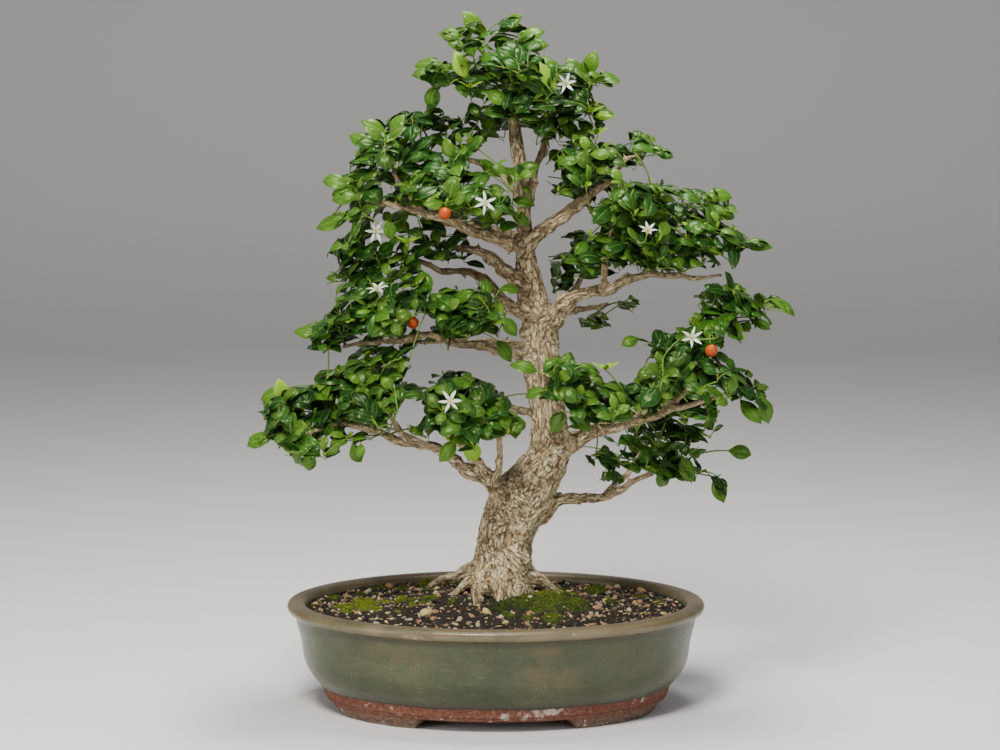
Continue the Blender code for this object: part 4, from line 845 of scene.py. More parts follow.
CROWN_STEP = 2  # pixels between the places at which the crown's outline is looked up
TREE_DISTANCE = 2.66  # of the trunk from the camera
WOOD_MARGIN = 1.0  # pixels kept free beside a branch in view
BUD_MARGINS = (11.5, 7.5)  # pixels kept free about a flower and a fruit
BUD_DEPTH = 0.012
BOX_SLACK = 0.004
STOUT_WOOD = 0.0028  # leaves keep off wood with more than this radius
WOOD_GAP = 0.0012
NEAR_SOLID = 0.019  # how far from the solid leaves a finer leaf may reach
MIDDLE_NEAR = 1.8  # times as far in the middle of the crown
MIDDLE_DEPTH = 0.075
EXTRA_NEAR = 0.08  # the same for the shoots that close the crown
SHOOT_GAP = 0.0160
SHOOT_SHIFT = 0.006
SHOOT_MISSES = 160  # tries in vain after which a spray is full
ROSETTE_SHARE = 0.70
BRANCHING = 0.45  # how much a stem's way from the twig counts against forking there
OPEN_AIR = 0.02  # how much each bare stretch counts

# A leaf's cut: where its rows lie, how wide each one is, and where the points of a row lie.
LEAF = ((0.0, 0.09, 0.21, 0.35, 0.50, 0.64, 0.77, 0.88, 0.95, 1.0),
        (0.07, 0.34, 0.72, 0.95, 1.00, 0.90, 0.66, 0.34, 0.12, 0.02),
        (-1.0, -0.64, -0.30, 0.0, 0.30, 0.64, 1.0))
BUD = ((0.0, 0.3, 0.6, 0.85, 1.0), (0.2, 0.85, 1.0, 0.55, 0.03), (-1.0, 0.0, 1.0))
PROBES = ((-1, 3), (7, 0), (7, -1), (4, 0), (4, -1), (2, 3))  # rows and columns of the points that need room


def inside(polygon, column, row):
    hit = False
    for (x1, y1), (x2, y2) in zip(polygon, polygon[1:] + polygon[:1]):
        if (y1 > row) != (y2 > row) and column < x1 + (row - y1) * (x2 - x1) / (y2 - y1):
            hit = not hit
    return hit


def in_crown(column, row):
    """Whether the photograph shows leaves at a pixel."""
    return (any(inside(pad, column, row) for pad in PADS)
            and not any(inside(gap, column, row) for gap in OPENINGS))


def crown_cells():
    """The places in a grid of pixels at which the photograph shows leaves."""
    columns, rows = (range(min(values) // CROWN_STEP * CROWN_STEP, max(values), CROWN_STEP)
                     for values in zip(*(point for pad in PADS for point in pad)))
    return {place for place in itertools.product(columns, rows) if in_crown(*place)}


class Room:
    """Knows where a leaf may lie: in the crown's outline, off the wood, and not before what is in view."""

    def __init__(self, lines):
        self.cells = crown_cells()
        bare = [BRANCHES[name][:count] for name, count in IN_VIEW.items()]
        pieces = [pair for spots in bare for pair in zip(spots, spots[1:])]
        pieces += [(a, b) for a, b in zip(TRUNK, TRUNK[1:])
                   if not any(low < (a[1] + b[1]) / 2 < high for low, high in TRUNK_HIDDEN)]
        self.clear = [[(c, r, depth / MM, radius / MM) for c, r, depth, radius in pair] for pair in pieces]
        self.buds = [(*flower[1], BUD_MARGINS[0]) for flower in FLOWERS]
        self.buds += [(*fruit[1], BUD_MARGINS[1]) for fruit in FRUITS]
        self.wood = search_tree([point for path, _ in lines for point in path])
        self.radii = [radius for _, radii in lines for radius in radii]
        solids = [node for node in bpy.data.objects if node.name.startswith("spray_")]
        self.solid = search_tree([vert.co for node in solids for vert in node.data.vertices])

    def shown(self, column, row):
        return (int(column) // CROWN_STEP * CROWN_STEP, int(row) // CROWN_STEP * CROWN_STEP) in self.cells

    def off_limits(self, point, depth, near):
        """Whether a point lies outside the solid tree's box, too far from its leaves, or in its wood."""
        if not all(CAD_BOX[0][i] - BOX_SLACK < point[i] < CAD_BOX[1][i] + BOX_SLACK for i in range(3)):
            return True
        in_middle = abs(depth) < MIDDLE_DEPTH
        if self.solid.find(point)[2] > (near or NEAR_SOLID * (MIDDLE_NEAR if in_middle else 1)):
            return True
        _, k, gap = self.wood.find(point)
        return gap < self.radii[k] + WOOD_GAP and self.radii[k] > STOUT_WOOD

    def hides_wood(self, column, row, depth):
        for (c1, r1, d1, s1), (c2, r2, d2, s2) in self.clear:
            reach = WOOD_MARGIN + (s1 + s2) / 2 * FOCAL_PIXELS / TREE_DISTANCE
            if min(c1, c2) - reach > column or column > max(c1, c2) + reach:
                continue
            if min(r1, r2) - reach > row or row > max(r1, r2) + reach:
                continue
            across, down = c2 - c1, r2 - r1
            t = ((column - c1) * across + (row - r1) * down) / max(across ** 2 + down ** 2, 1e-6)
            gap = math.hypot(column - c1 - t * across, row - r1 - t * down)
            if 0 <= t <= 1 and gap < reach and depth < d1 + t * (d2 - d1):
                return True
        return False

    def hides_bud(self, column, row, depth):
        return any(depth < d / MM + BUD_DEPTH and math.hypot(column - c, row - r) < reach
                   for c, r, d, reach in self.buds)

    def takes(self, points, edge=0, near=None):
        """Whether a leaf through these points may lie there, with at most edge of them off the outline."""
        outside = 0
        for point in points:
            column, row, depth = pixel(point)
            outside += not self.shown(column, row)
            if outside > edge or self.off_limits(point, depth, near):
                return False
            if self.hides_wood(column, row, depth) or self.hides_bud(column, row, depth):
                return False
        return True


class Taken:
    """Remembers where shoots stand, to keep others SHOOT_GAP away."""

    def __init__(self):
        self.cells = {}

    def cell(self, spot):
        return tuple(math.floor(c / SHOOT_GAP) for c in spot)

    def add(self, spot):
        for step in itertools.product((-1, 0, 1), repeat=3):
            cell = tuple(a + b for a, b in zip(self.cell(spot), step))
            self.cells.setdefault(cell, []).append(spot)

    def crowds(self, spot):
        return any((spot - other).length < SHOOT_GAP for other in self.cells.get(self.cell(spot), []))


class Spray(Shape):
    """A spray's leaves and stems, with what each point is: leaf or stem, and how fresh."""

    def __init__(self):
        super().__init__()
        self.kinds = []

    def close(self, *kind):
        self.kinds += [kind] * (len(self.points) - len(self.kinds))

    def stem(self, path, radii, young, sides=4):
        self.tube(path, radii, sides)
        self.mark(0.5, 0.5, young, 0.0)
        self.close(0.0, 0.0, 0.0, 1.0)

    def leaf(self, form, tone, luck, fresh=0.0, cut=LEAF):
        """Adds a leaf; luck is a number of its own, the same for all its points."""
        first = len(self.points)
        for u, row in zip(cut[0], form):
            for v, point in zip(cut[2], row):
                self.points.append(point)
                self.mark(u, 0.5 + 0.5 * v, tone, luck)
        self.close(1.0, fresh, 0.0, 1.0)
        self.grid(first, len(cut[0]) - 1, len(cut[2]) - 1)


def leaf_form(rng, base, way, normal, length, width, droop=0.5, cut=LEAF):
    """The points of one leaf: folded along its rib, arched, with a tip that turns down."""
    way = way.normalized()
    normal = (normal - way * normal.dot(way)).normalized()
    side = way.cross(normal)
    fold = rng.uniform(0.34, 0.62)
    curl = fold * rng.uniform(1.00, 1.65)
    lift, twist, sway = rng.uniform(0.25, 0.55) * droop, rng.uniform(-0.30, 0.30), rng.uniform(-0.20, 0.20)
    wave, phase = rng.uniform(0.010, 0.045), rng.uniform(0, 6.28)
    drop = droop * rng.uniform(0.75, 1.20)
    rows, spine, last = [], base.copy(), 0.0
    for u, share in zip(*cut[:2]):
        pitch = lift - drop * 1.35 * u - 3.4 * drop * max(0, u - 0.74) ** 1.2
        onward = (way * math.cos(pitch) + normal * math.sin(pitch)) + side * (sway * u)
        spine += onward.normalized() * (u - last) * length
        last = u
        over = (normal * math.cos(pitch) - way * math.sin(pitch)).normalized()
        aside = side * math.cos(twist * u) + over * math.sin(twist * u)
        upward = over * math.cos(twist * u) - side * math.sin(twist * u)
        half = width / 2 * share
        row = []
        for v in cut[2]:
            rise = fold * abs(v) - curl * v * v + wave * math.sin(11 * u + phase + 2.2 * v) * abs(v)
            row.append(spine + aside * (v * half * (1 - 0.10 * fold)) + upward * (half * rise))
        rows.append(row)
    return rows


def outward_at(point):
    """The way out of the crown at a point."""
    middle = MIDDLE + Vector((0.02, 0.0, clamp(point.z, 0.32, 0.60) - 0.05))
    return ((point - middle) * Vector((1, 1.7, 1))).normalized()


def axis_at(rng, point):
    """The way a shoot grows: up, outwards and a little towards the camera."""
    return (UP * 0.70 + outward_at(point) * 0.70 + TOWARDS_CAMERA * 0.12 + swing(rng, 0.22)).normalized()


def tone_with_painted_light_at(rng, point):
    """How bright a shoot's leaves are: by patches; brighter in front, which is painted light; and brighter
    higher up, partly as younger growth and partly as painted light from above.
    """
    # Brighter in front is painted light, where the lamps fall; brighter higher up is younger growth and
    # painted light from above.
    front = clamp(0.45 - (point.y - MIDDLE.y) / 0.30)
    high = clamp((point.z - 0.30) / 0.45)
    patch = 0.5 + 0.5 * noise.noise(point * 22)
    return clamp(0.12 + 0.24 * front + 0.12 * high + 0.24 * patch + rng.gauss(0, 0.12), 0.02, 0.98)


class Stems:
    """A spray's green stems, which fork from its woody twig out to its shoots."""

    def __init__(self, spray, tip, room):
        self.spray, self.nodes, self.room = spray, [(tip, 0.0)], room

    def bare(self, node, end):
        """How much of a stem from a node would show in the open air beside the crown, from 0 to 3."""
        return sum(not self.room.shown(*pixel(node[0].lerp(end, share))[:2]) for share in (0.25, 0.5, 0.75))

    def cost(self, node, end):
        return (node[0] - end).length + BRANCHING * node[1] + OPEN_AIR * self.bare(node, end)

    def source(self, end):
        """Where a stem that ends there forks off."""
        return min(self.nodes, key=lambda node: self.cost(node, end))

    def hides(self, end):
        """Whether a stem that ends there stays among the leaves."""
        return self.bare(self.source(end), end) < 2

    def reach(self, rng, end, tone=0.35):
        start, walked = self.source(end)
        gap = (end - start).length
        lean = UP * 0.10 * gap + scatter(rng) * 0.12 * gap
        path = bend(start, (start + end) / 2 + lean, end, 6)
        thick = clamp(0.0013 - 0.012 * walked, 0.0008, 0.0013)
        self.spray.stem(path, graded(thick, 0.0007, 6), clamp(tone + 5 * walked, 0.1, 0.7))
        self.nodes += [(path[k], walked + gap * k / 5) for k in (2, 3, 4, 5)]

    def stalk(self, end, arriving):
        """The stalk of a flower or fruit, which arrives in line with it."""
        near = end - arriving * 0.007
        hub = min(self.nodes, key=lambda node: (node[0] - near).length)[0]
        path = [*bend(hub, (hub + near) / 2 - arriving * 0.006, near, 6), end]
        self.spray.stem(path, graded(0.0008, 0.00065, 7), 0.7, 5)


class Crown:
    """All sprays while they grow, with one run of random numbers for them all."""

    def __init__(self, lines):
        self.rng, self.room, self.taken = random.Random(11), Room(lines), Taken()
        self.sprays, self.stems = {}, {}
        for name in SPRAYS:
            spray = self.sprays[name] = Spray()
            twig, _ = twig_path(name)
            tip, way = twig[-1], (twig[-1] - twig[-2]).normalized()
            spray.stem([tip - way * 0.004, tip, tip + way * 0.003], [0.0017, 0.0015, 0.0012], 0.1)
            self.stems[name] = Stems(spray, tip + way * 0.002, self.room)

    def fits(self, form, edge, near=None):
        return self.room.takes([form[row][column] for row, column in PROBES], edge, near)

    def leaflets(self, spray, rachis, normal, sizes, tone):
        """Leaflets by turns along a stalk, with one at its end; each is laid out again until it has room."""
        rng, placed, last = self.rng, 0, len(sizes) - 1
        for k, size in enumerate(sizes):
            share = 1.0 if k == last else 0.28 + 0.66 * k / max(last, 1)
            spot, along = way_at(rachis, share)
            side = along.cross(normal).normalized() * (1 if k % 2 else -1)
            for attempt in range(7):
                angle = rng.uniform(-0.25, 0.25) if k == last else rng.uniform(0.75, 1.15) - 0.12 * attempt
                way = along * math.cos(angle) + side * math.sin(angle) + normal * rng.uniform(-0.10, 0.30)
                way += scatter(rng) * 0.10 * attempt
                face = normal + scatter(rng) * 0.35
                length = size * rng.uniform(0.92, 1.08) * (1 - 0.05 * attempt)
                width = length * rng.uniform(0.53, 0.66)
                root = spot + way.normalized() * 0.0022
                form = leaf_form(rng, root, way, face, length, width, rng.uniform(0.35, 1.0))
                if self.fits(form, 0 if attempt < 5 else 1):
                    spray.leaf(form, clamp(tone + rng.gauss(0, 0.07)), rng.random())
                    spray.stem([spot, root], [0.00055, 0.0005], 0.6, 3)
                    placed += 1
                    break
        return placed

    def rosette(self, spray, centre, axis, count, size, tone, near=None):
        """Leaves by turns about a shoot's end: outer ones spread and arch, small inner ones stand up."""
        rng, placed, axis = self.rng, 0, axis.normalized()
        side = axis.orthogonal().normalized()
        other, turn = axis.cross(side), rng.uniform(0, 2 * math.pi)
        for k, inner in enumerate(graded(0, 1, count)):
            for attempt in range(6):
                angle = turn + 2.4 * k + rng.uniform(-0.35, 0.35) * (1 + attempt)
                rise = math.radians(rng.uniform(-4, 22) + 46 * inner ** 1.4 - 5 * attempt)
                radial = side * math.cos(angle) + other * math.sin(angle)
                way = radial * math.cos(rise) + axis * math.sin(rise)
                face = axis * math.cos(rise) - radial * math.sin(rise) + scatter(rng) * 0.22
                length = size * (1 - 0.40 * inner) * rng.uniform(0.88, 1.10) * (1 - 0.04 * attempt)
                base = centre - axis * 0.006 * (1 - inner)
                root = base + way * rng.uniform(0.0025, 0.0060)
                width = length * rng.uniform(0.57, 0.70)
                form = leaf_form(rng, root, way, face, length, width, rng.uniform(0.45, 1.15))
                if self.fits(form, 0 if attempt < 4 else 1, near):
                    shade = clamp(tone + 0.10 * inner + rng.gauss(0, 0.08))
                    spray.leaf(form, shade, rng.random(), 0.25 * inner)
                    spray.stem([base, root], [0.0006, 0.0005], 0.6, 3)
                    placed += 1
                    break
        if placed > 2:
            self.buds(spray, centre, axis)
        return placed

    def buds(self, spray, centre, axis):
        """Unfolding leaves, still small, at the middle of a rosette."""
        rng = self.rng
        for _ in range(rng.choice((1, 2, 3))):
            way = (axis + scatter(rng) * 0.5).normalized()
            length = rng.uniform(0.004, 0.008)
            form = leaf_form(rng, centre, way, axis.orthogonal(), length, 0.0026, 0.2, BUD)
            spray.leaf(form, 0.9, rng.random(), 0.9, BUD)

    def pinnate(self, spray, centre, axis, tone, size):
        """One or two compound leaves from the end of a shoot."""
        rng, placed = self.rng, 0
        for _ in range(rng.choice((1, 2))):
            for _ in range(5):
                aim = (axis.normalized() * 0.7 + swing(rng, 1).normalized() * 0.75).normalized()
                reach = rng.uniform(0.016, 0.026)
                normal = UP * 0.9 + axis * 0.5 + TOWARDS_CAMERA * 0.2
                normal = (normal - aim * normal.dot(aim)).normalized()
                tip = centre + aim * reach - normal * 0.004
                if not self.room.shown(*pixel(tip)[:2]):
                    continue
                rachis = bend(centre, centre + aim * 0.5 * reach + normal * 0.003, tip, 5)
                count = rng.choice((4, 5, 5, 6))
                sizes = [size * (0.62 + 0.34 * i / (count - 1)) for i in range(count - 1)] + [size]
                got = self.leaflets(spray, rachis, normal, sizes, tone)
                if got:
                    spray.stem(rachis, graded(0.0007, 0.00045, 5), 0.6, 4)
                    placed += got
                    break
        return placed

    def close_gaps(self):
        """Grows the shoots of the table from the sprays that reach them best."""
        for spot in EXTRA_SHOOTS:
            place = listed(*spot)
            self.taken.add(place)
            stems = min(self.stems.values(), key=lambda each: each.cost(each.source(place), place))
            if stems.hides(place):
                axis, tone = axis_at(self.rng, place), tone_with_painted_light_at(self.rng, place)
                if self.rosette(stems.spray, place, axis, 5, 0.029, tone, EXTRA_NEAR):
                    stems.reach(self.rng, place)

    def shoot_places(self, name):
        """Places for a spray's shoots, among the solid one's leaves, evenly apart."""
        verts = [vert.co for vert in bpy.data.objects[f"spray_{name}"].data.vertices]
        found, misses = [], 0
        while misses < SHOOT_MISSES:
            spot = self.rng.choice(verts) + scatter(self.rng) * SHOOT_SHIFT
            if self.taken.crowds(spot) or not self.room.takes([spot]):
                misses += 1
                continue
            self.taken.add(spot)
            found.append(spot)
        return found

    def fill(self, name):
        """Grows a spray's shoots, the nearest ones first."""
        rng, spray, stems = self.rng, self.sprays[name], self.stems[name]
        first = stems.nodes[0][0]
        for place in sorted(self.shoot_places(name), key=lambda spot: (spot - first).length):
            axis, tone = axis_at(rng, place), tone_with_painted_light_at(rng, place)
            if not stems.hides(place):
                continue
            if rng.random() < ROSETTE_SHARE:
                count = rng.choice((4, 5, 5, 6))
                got = self.rosette(spray, place, axis, count, rng.uniform(0.0255, 0.0325), tone)
            else:
                got = self.pinnate(spray, place, axis, tone, rng.uniform(0.0250, 0.0310))
            if got:
                stems.reach(rng, place)

    def stand_out(self, name, column, row, tip_column, tip_row, depth, droop, tone):
        """One leaf of the table."""
        rng = self.rng
        root = listed(column, row, depth)
        way = seen(tip_column, tip_row, depth / MM + rng.uniform(-0.008, 0.008)) - root
        normal = UP * 0.60 + TOWARDS_CAMERA * 0.70 + scatter(rng) * 0.12
        length = way.length * (1.06 + 0.16 * droop)
        aim = (way + UP * way.length * 0.20 * droop).normalized()
        width = clamp(length * 0.64, 0.0135, 0.0172)
        form = leaf_form(rng, root, aim, normal, length, width, 0.30 + 0.6 * droop)
        self.sprays[name].leaf(form, tone + 0.06, rng.random(), 0.8 if tone > 0.85 else 0.15)
        self.stems[name].reach(rng, root, 0.5)

    def new_growth(self, name, column, row, depth):
        """A tuft of six small bright leaves."""
        root = listed(column, row + 4, depth)
        self.stems[name].reach(self.rng, root, 0.6)
        for k in range(6):
            out, _ = around(2.4 * k)
            way = (out + UP * (1.2 - 0.12 * k)).normalized()
            normal = (UP * 0.6 - Vector((way.x, way.y, 0)) * 0.8 + TOWARDS_CAMERA * 0.3).normalized()
            form = leaf_form(self.rng, root, way, normal, 0.006 + 0.0022 * k, 0.0036 + 0.0009 * k, 0.3)
            self.sprays[name].leaf(form, 0.90, self.rng.random(), 1.0)


def build_sprays(look, lines):
    crown = Crown(lines)
    crown.close_gaps()
    for name in SPRAYS:
        crown.fill(name)
    for name, leaves in STAND_OUTS:
        for leaf in leaves:
            crown.stand_out(name, *leaf)
    for growth in NEW_GROWTH:
        crown.new_growth(*growth)
    for name, spot, facing, _, _ in FLOWERS:
        facing = Vector(facing).normalized()
        crown.stems[name].stalk(listed(*spot) - facing * 0.0012, facing)
    for name, spot, way in FRUITS:
        way = Vector(way).normalized()
        crown.stems[name].stalk(listed(*spot) + way * 0.0064, -way)
    for name, spray in crown.sprays.items():
        mesh = spray.mesh(f"leaves_{name}")
        paint(mesh, "kind", spray.kinds)
        settle(f"leaves_{name}", mesh, look, f"spray_{name}")


# Flowers and fruits.

PETAL_ROWS = 10
PETAL_COLUMNS = (-1, -0.5, 0, 0.5, 1)
PETAL_HALF = 0.0014
SHUT_ANGLE = math.radians(68)
STAMENS = 10
SEPALS = 5
# A sepal's corners in millimetres: outwards, sideways and up.
SEPAL = ((0.3, -0.6, 0.4), (0.3, 0.6, 0.4), (1.4, 0.7, 0.2), (2.4, 0, 0.1), (1.4, -0.7, 0.2))


def facing_turn(facing, degrees=0.0):
    return facing.to_track_quat("Z", "Y").to_matrix() @ Matrix.Rotation(math.radians(degrees), 3, "Z")


def add_petal(shape, rng, number, centre, spin, opened):
    out, side = around(2 * math.pi * number / PETALS + rng.uniform(-0.09, 0.09))
    length = PETAL_LENGTH * rng.uniform(0.90, 1.02)
    half = PETAL_HALF * rng.uniform(0.9, 1.1)
    bendback = rng.uniform(0.05, 0.55)
    sway = rng.uniform(-0.14, 0.14)
    shut = SHUT_ANGLE * (1 - opened)
    first = len(shape.points)
    for i in range(PETAL_ROWS + 1):
        u = i / PETAL_ROWS
        wide = half * (math.sin(math.pi * (0.06 + 0.94 * u) ** 0.85) ** 0.72 if i < PETAL_ROWS else 0.06)
        reach = 0.0008 + length * u
        drop = 0.0011 * math.sin(1.9 * u) - bendback * length * 0.45 * u ** 3
        for v in PETAL_COLUMNS:
            cup = 0.0006 * abs(v) ** 1.5 * math.sin(math.pi * u)
            cup += 0.00014 * math.sin(17 * u + 4 * v + number)
            rise = drop + cup
            outward = reach * math.cos(shut) - rise * math.sin(shut)
            upward = rise * math.cos(shut) + reach * math.sin(shut)
            place = out * outward + side * (v * wide + sway * length * u * u)
            shape.points.append(centre + spin @ (place + UP * upward))
            shape.mark(u, 0.5 + 0.5 * v, 0.0, rng.random())
    shape.grid(first, PETAL_ROWS, len(PETAL_COLUMNS) - 1)


def build_flower(number, look, spot, facing, turn, opened):
    rng, shape = random.Random(100 + number), Shape()
    centre, spin = listed(*spot), facing_turn(Vector(facing).normalized(), turn)
    for k in range(PETALS):
        add_petal(shape, rng, k, centre, spin, opened)
    shape.ball(centre + spin @ Vector((0, 0, -0.0006)), (0.0016, 0.0016, 0.0016), spin)
    shape.mark(0.5, 0.5, 0.6, rng.random())
    for k in range(STAMENS):
        out, _ = around(2 * math.pi * k / STAMENS + 0.2)
        lean = rng.uniform(0.35, 0.62)
        length = 0.0048 if k % 2 else 0.0037
        tip = centre + spin @ ((out * lean + UP).normalized() * length)
        shape.tube(bend(centre, centre + spin @ Vector((0, 0, 0.0018)), tip, 4), [0.00022] * 4, 4)
        shape.mark(0.5, 0.5, 0.2, rng.random())
        shape.ball(tip, (0.0004, 0.0004, 0.0006), spin, 1)
        shape.mark(0.5, 0.5, 1.0, rng.random())
    # The style and its stigma.
    shape.tube([centre, centre + spin @ Vector((0, 0, 0.0046))], [0.0006, 0.0005], 6)
    shape.mark(0.5, 0.5, 0.6, rng.random())
    shape.ball(centre + spin @ Vector((0, 0, 0.0048)), (0.0009, 0.0009, 0.0007), spin, 1)
    shape.mark(0.5, 0.5, 0.8, rng.random())
    settle(f"blossom_{number}", shape.mesh(f"blossom_{number}"), look, f"flower_{number}")


def lowest_first(corners):
    """The corners of a face, the same way round, from the lowest number on."""
    start = corners.index(min(corners))
    return corners[start:] + corners[:start]


def build_fruit(number, look, spot, way):
    centre, turn = listed(*spot), facing_turn(Vector(way).normalized())
    shape = Shape()
    work = bmesh.new()
    bmesh.ops.create_uvsphere(work, u_segments=48, v_segments=28, radius=1)
    for vert in work.verts:
        dimple = 0.10 * math.exp(-(1 - vert.co.z) / 0.05)
        swell = 1 + 0.030 * noise.noise(vert.co * 1.3 + Vector((number, 0, 0))) - dimple
        shape.points.append(centre + turn @ (vert.co * FRUIT_RADIUS * swell))
        shape.mark(0.5 + 0.5 * vert.co.z, 0, 0.0, 0.5)
    # The sphere comes with its faces in another order in each run, so they are sorted.
    shape.faces += sorted(lowest_first(tuple(v.index for v in face.verts)) for face in work.faces)
    work.free()
    for k in range(SEPALS):
        out, side = around(2 * math.pi * k / SEPALS)
        first = len(shape.points)
        for reach, aside, lift in SEPAL:
            corner = out * (reach / MM) + side * (aside / MM) + UP * (FRUIT_RADIUS * 0.97 + lift / MM)
            shape.points.append(centre + turn @ corner)
        shape.faces.append(tuple(range(first, first + len(SEPAL))))
    shape.ball(centre + turn @ Vector((0, 0, -FRUIT_RADIUS)), (0.0005, 0.0005, 0.0004), turn, 1)
    shape.mark(0.5, 0, 1.0, 0.5)
    settle(f"berry_{number}", shape.mesh(f"berry_{number}"), look, f"fruit_{number}")


# Pot and soil.

POT_SIDES = 160
POT_HEIGHT = 0.105
SKIN_STEP = 0.0024
LIP_TOP = 0.1040
LIP_ROWS = 4  # rows of the skin from the top of the lip to the inside
WALL_TOP = 0.1
DRAIN_SIDES = 32
FOOT_ROWS = 8
FOOT_COLUMNS = 40
FOOT_BULGE = 0.0022
SCROLLS = 3
SCROLL_DEPTH = 0.0018


def oval_point(inset, degrees):
    """A point on the oval that lies inset inside the rim's oval, above the pot's middle."""
    t = math.radians(degrees)
    half_length, half_width = POT_LENGTH / 2 - inset, POT_WIDTH / 2 - inset
    return MIDDLE + Vector((half_length * math.cos(t), half_width * math.sin(t), 0))


def eased(corners, step, soften):
    """A line through the corners cut into short steps, with its corners rounded."""
    points = []
    for (a, b), (c, d) in zip(corners, corners[1:]):
        count = max(1, round(math.hypot(c - a, d - b) / step))
        points += [(a + (c - a) * i / count, b + (d - b) * i / count) for i in range(count)]
    points.append(corners[-1])
    for _ in range(soften):
        points = [points[0]] + [((a[0] + 2 * b[0] + c[0]) / 4, (a[1] + 2 * b[1] + c[1]) / 4)
                                for a, b, c in zip(points, points[1:], points[2:])] + [points[-1]]
    return points


def drain_ring(x, height):
    ring = []
    for k in range(DRAIN_SIDES):
        t = 2 * math.pi * k / DRAIN_SIDES
        ring.append(MIDDLE + Vector((x + DRAIN_RADIUS * math.cos(t), DRAIN_RADIUS * math.sin(t), height)))
    return ring


def build_pot(look):
    skin = eased(POT_SKIN, SKIN_STEP, 3)
    shape = Shape()
    rim = next(i for i, (_, height) in enumerate(skin) if height > LIP_TOP)
    for number, (inset, height) in enumerate(skin):
        for k in range(POT_SIDES):
            point = oval_point(inset, 360 * k / POT_SIDES) + UP * height
            wobble = 0.00045 * noise.noise(point * 14) + 0.00018 * noise.noise(point * 55)
            out = Vector((point.x - MIDDLE.x, point.y - MIDDLE.y, 0)).normalized()
            shape.points.append(point + out * wobble * (1 if height < WALL_TOP else 0.6))
        shape.mark(height / POT_HEIGHT, 1.0 if number > rim + LIP_ROWS else 0.0, 0.0, 0.5)
    shape.hoops(0, len(skin) - 1, POT_SIDES)
    # The floor and the underside are plates with their drainage holes cut out.
    for start, height, flip in (((len(skin) - 1) * POT_SIDES, skin[-1][1], False), (0, skin[0][1], True)):
        add_plate(shape, shape.points[start:start + POT_SIDES], height, flip)
        shape.mark(height / POT_HEIGHT, 0.0 if flip else 1.0, 0.0, 0.5)
    for x in (-DRAIN_X, DRAIN_X):
        first = len(shape.points)
        shape.points += drain_ring(x, skin[0][1]) + drain_ring(x, skin[-1][1])
        shape.hoops(first, 1, DRAIN_SIDES, flip=True)
    shape.mark(0.1, 0.0, 0.0, 0.5)
    for mirror_x, mirror_y in itertools.product((1, -1), repeat=2):
        add_foot(shape, mirror_x, mirror_y)
        shape.mark(0.05, 0.0, 1.0, 0.5)
    settle("glazed_pot", shape.mesh("glazed_pot"), look, "pot")


def add_plate(shape, edge, height, flip):
    """Fills a ring of the pot's skin with a flat plate that leaves its two drainage holes open."""
    work = bmesh.new()
    edges = []
    for ring in (edge, drain_ring(-DRAIN_X, height), drain_ring(DRAIN_X, height)):
        verts = [work.verts.new((p.x, p.y, height)) for p in ring]
        edges += [work.edges.new((a, b)) for a, b in zip(verts, verts[1:] + verts[:1])]
    bmesh.ops.triangle_fill(work, edges=edges, use_beauty=True)
    work.verts.index_update()
    first = len(shape.points)
    shape.points += [vert.co.copy() for vert in work.verts]
    for face in work.faces:
        order = [first + v.index for v in face.verts]
        if (face.normal.z > 0) == flip:
            order.reverse()
        shape.faces.append(tuple(order))
    work.free()


def foot_angle(fall, share):
    """Degrees at a share of a foot's length, whose ends slant inwards as they fall."""
    slant = FOOT_SLANT * fall
    return FOOT_ARC[0] + slant + (FOOT_ARC[1] - FOOT_ARC[0] - 2 * slant) * share


def add_foot(shape, mirror_x, mirror_y):
    """A cloud foot: a curved block whose lower edge is cut in scrolls."""
    rows, columns, first = FOOT_ROWS, FOOT_COLUMNS, len(shape.points)
    shares = graded(0, 1, columns + 1)
    for fall in graded(0, 1, rows + 1):
        near = FOOT_OUTER[0] + (FOOT_OUTER[1] - FOOT_OUTER[0]) * fall
        near -= FOOT_BULGE * math.sin(math.pi * fall)
        for share in shares:
            scroll = SCROLL_DEPTH * max(0, math.cos(2 * math.pi * SCROLLS * share)) * fall
            point = oval_point(near + scroll * 0.6, foot_angle(fall, share))
            shape.points.append(point + UP * (FOOT_TOP * (1 - fall)))
    inner, n = len(shape.points), columns + 1
    for fall in (0, 1):
        lift = UP * (FOOT_TOP * (1 - fall))
        shape.points += [oval_point(FOOT_INNER, foot_angle(fall, share)) + lift for share in shares]
    faces = []
    for j in range(rows):
        for a in range(first + j * n, first + j * n + columns):
            faces.append((a, a + n, a + n + 1, a + 1))
    low = first + rows * n
    for i in range(columns):
        a, b = inner + i, inner + n + i
        faces += [(a, a + 1, b + 1, b), (low + i, b, b + 1, low + i + 1)]
        faces.append((first + i, first + i + 1, a + 1, a))
    for end in (0, columns):
        side = [first + j * n + end for j in range(rows + 1)] + [inner + n + end, inner + end]
        faces.append(tuple(side if end else reversed(side)))
    for k in range(first, len(shape.points)):
        point = shape.points[k] - MIDDLE
        shape.points[k] = MIDDLE + Vector((point.x * mirror_x, point.y * mirror_y, point.z))
    shape.faces += faces if mirror_x * mirror_y > 0 else [tuple(reversed(face)) for face in faces]


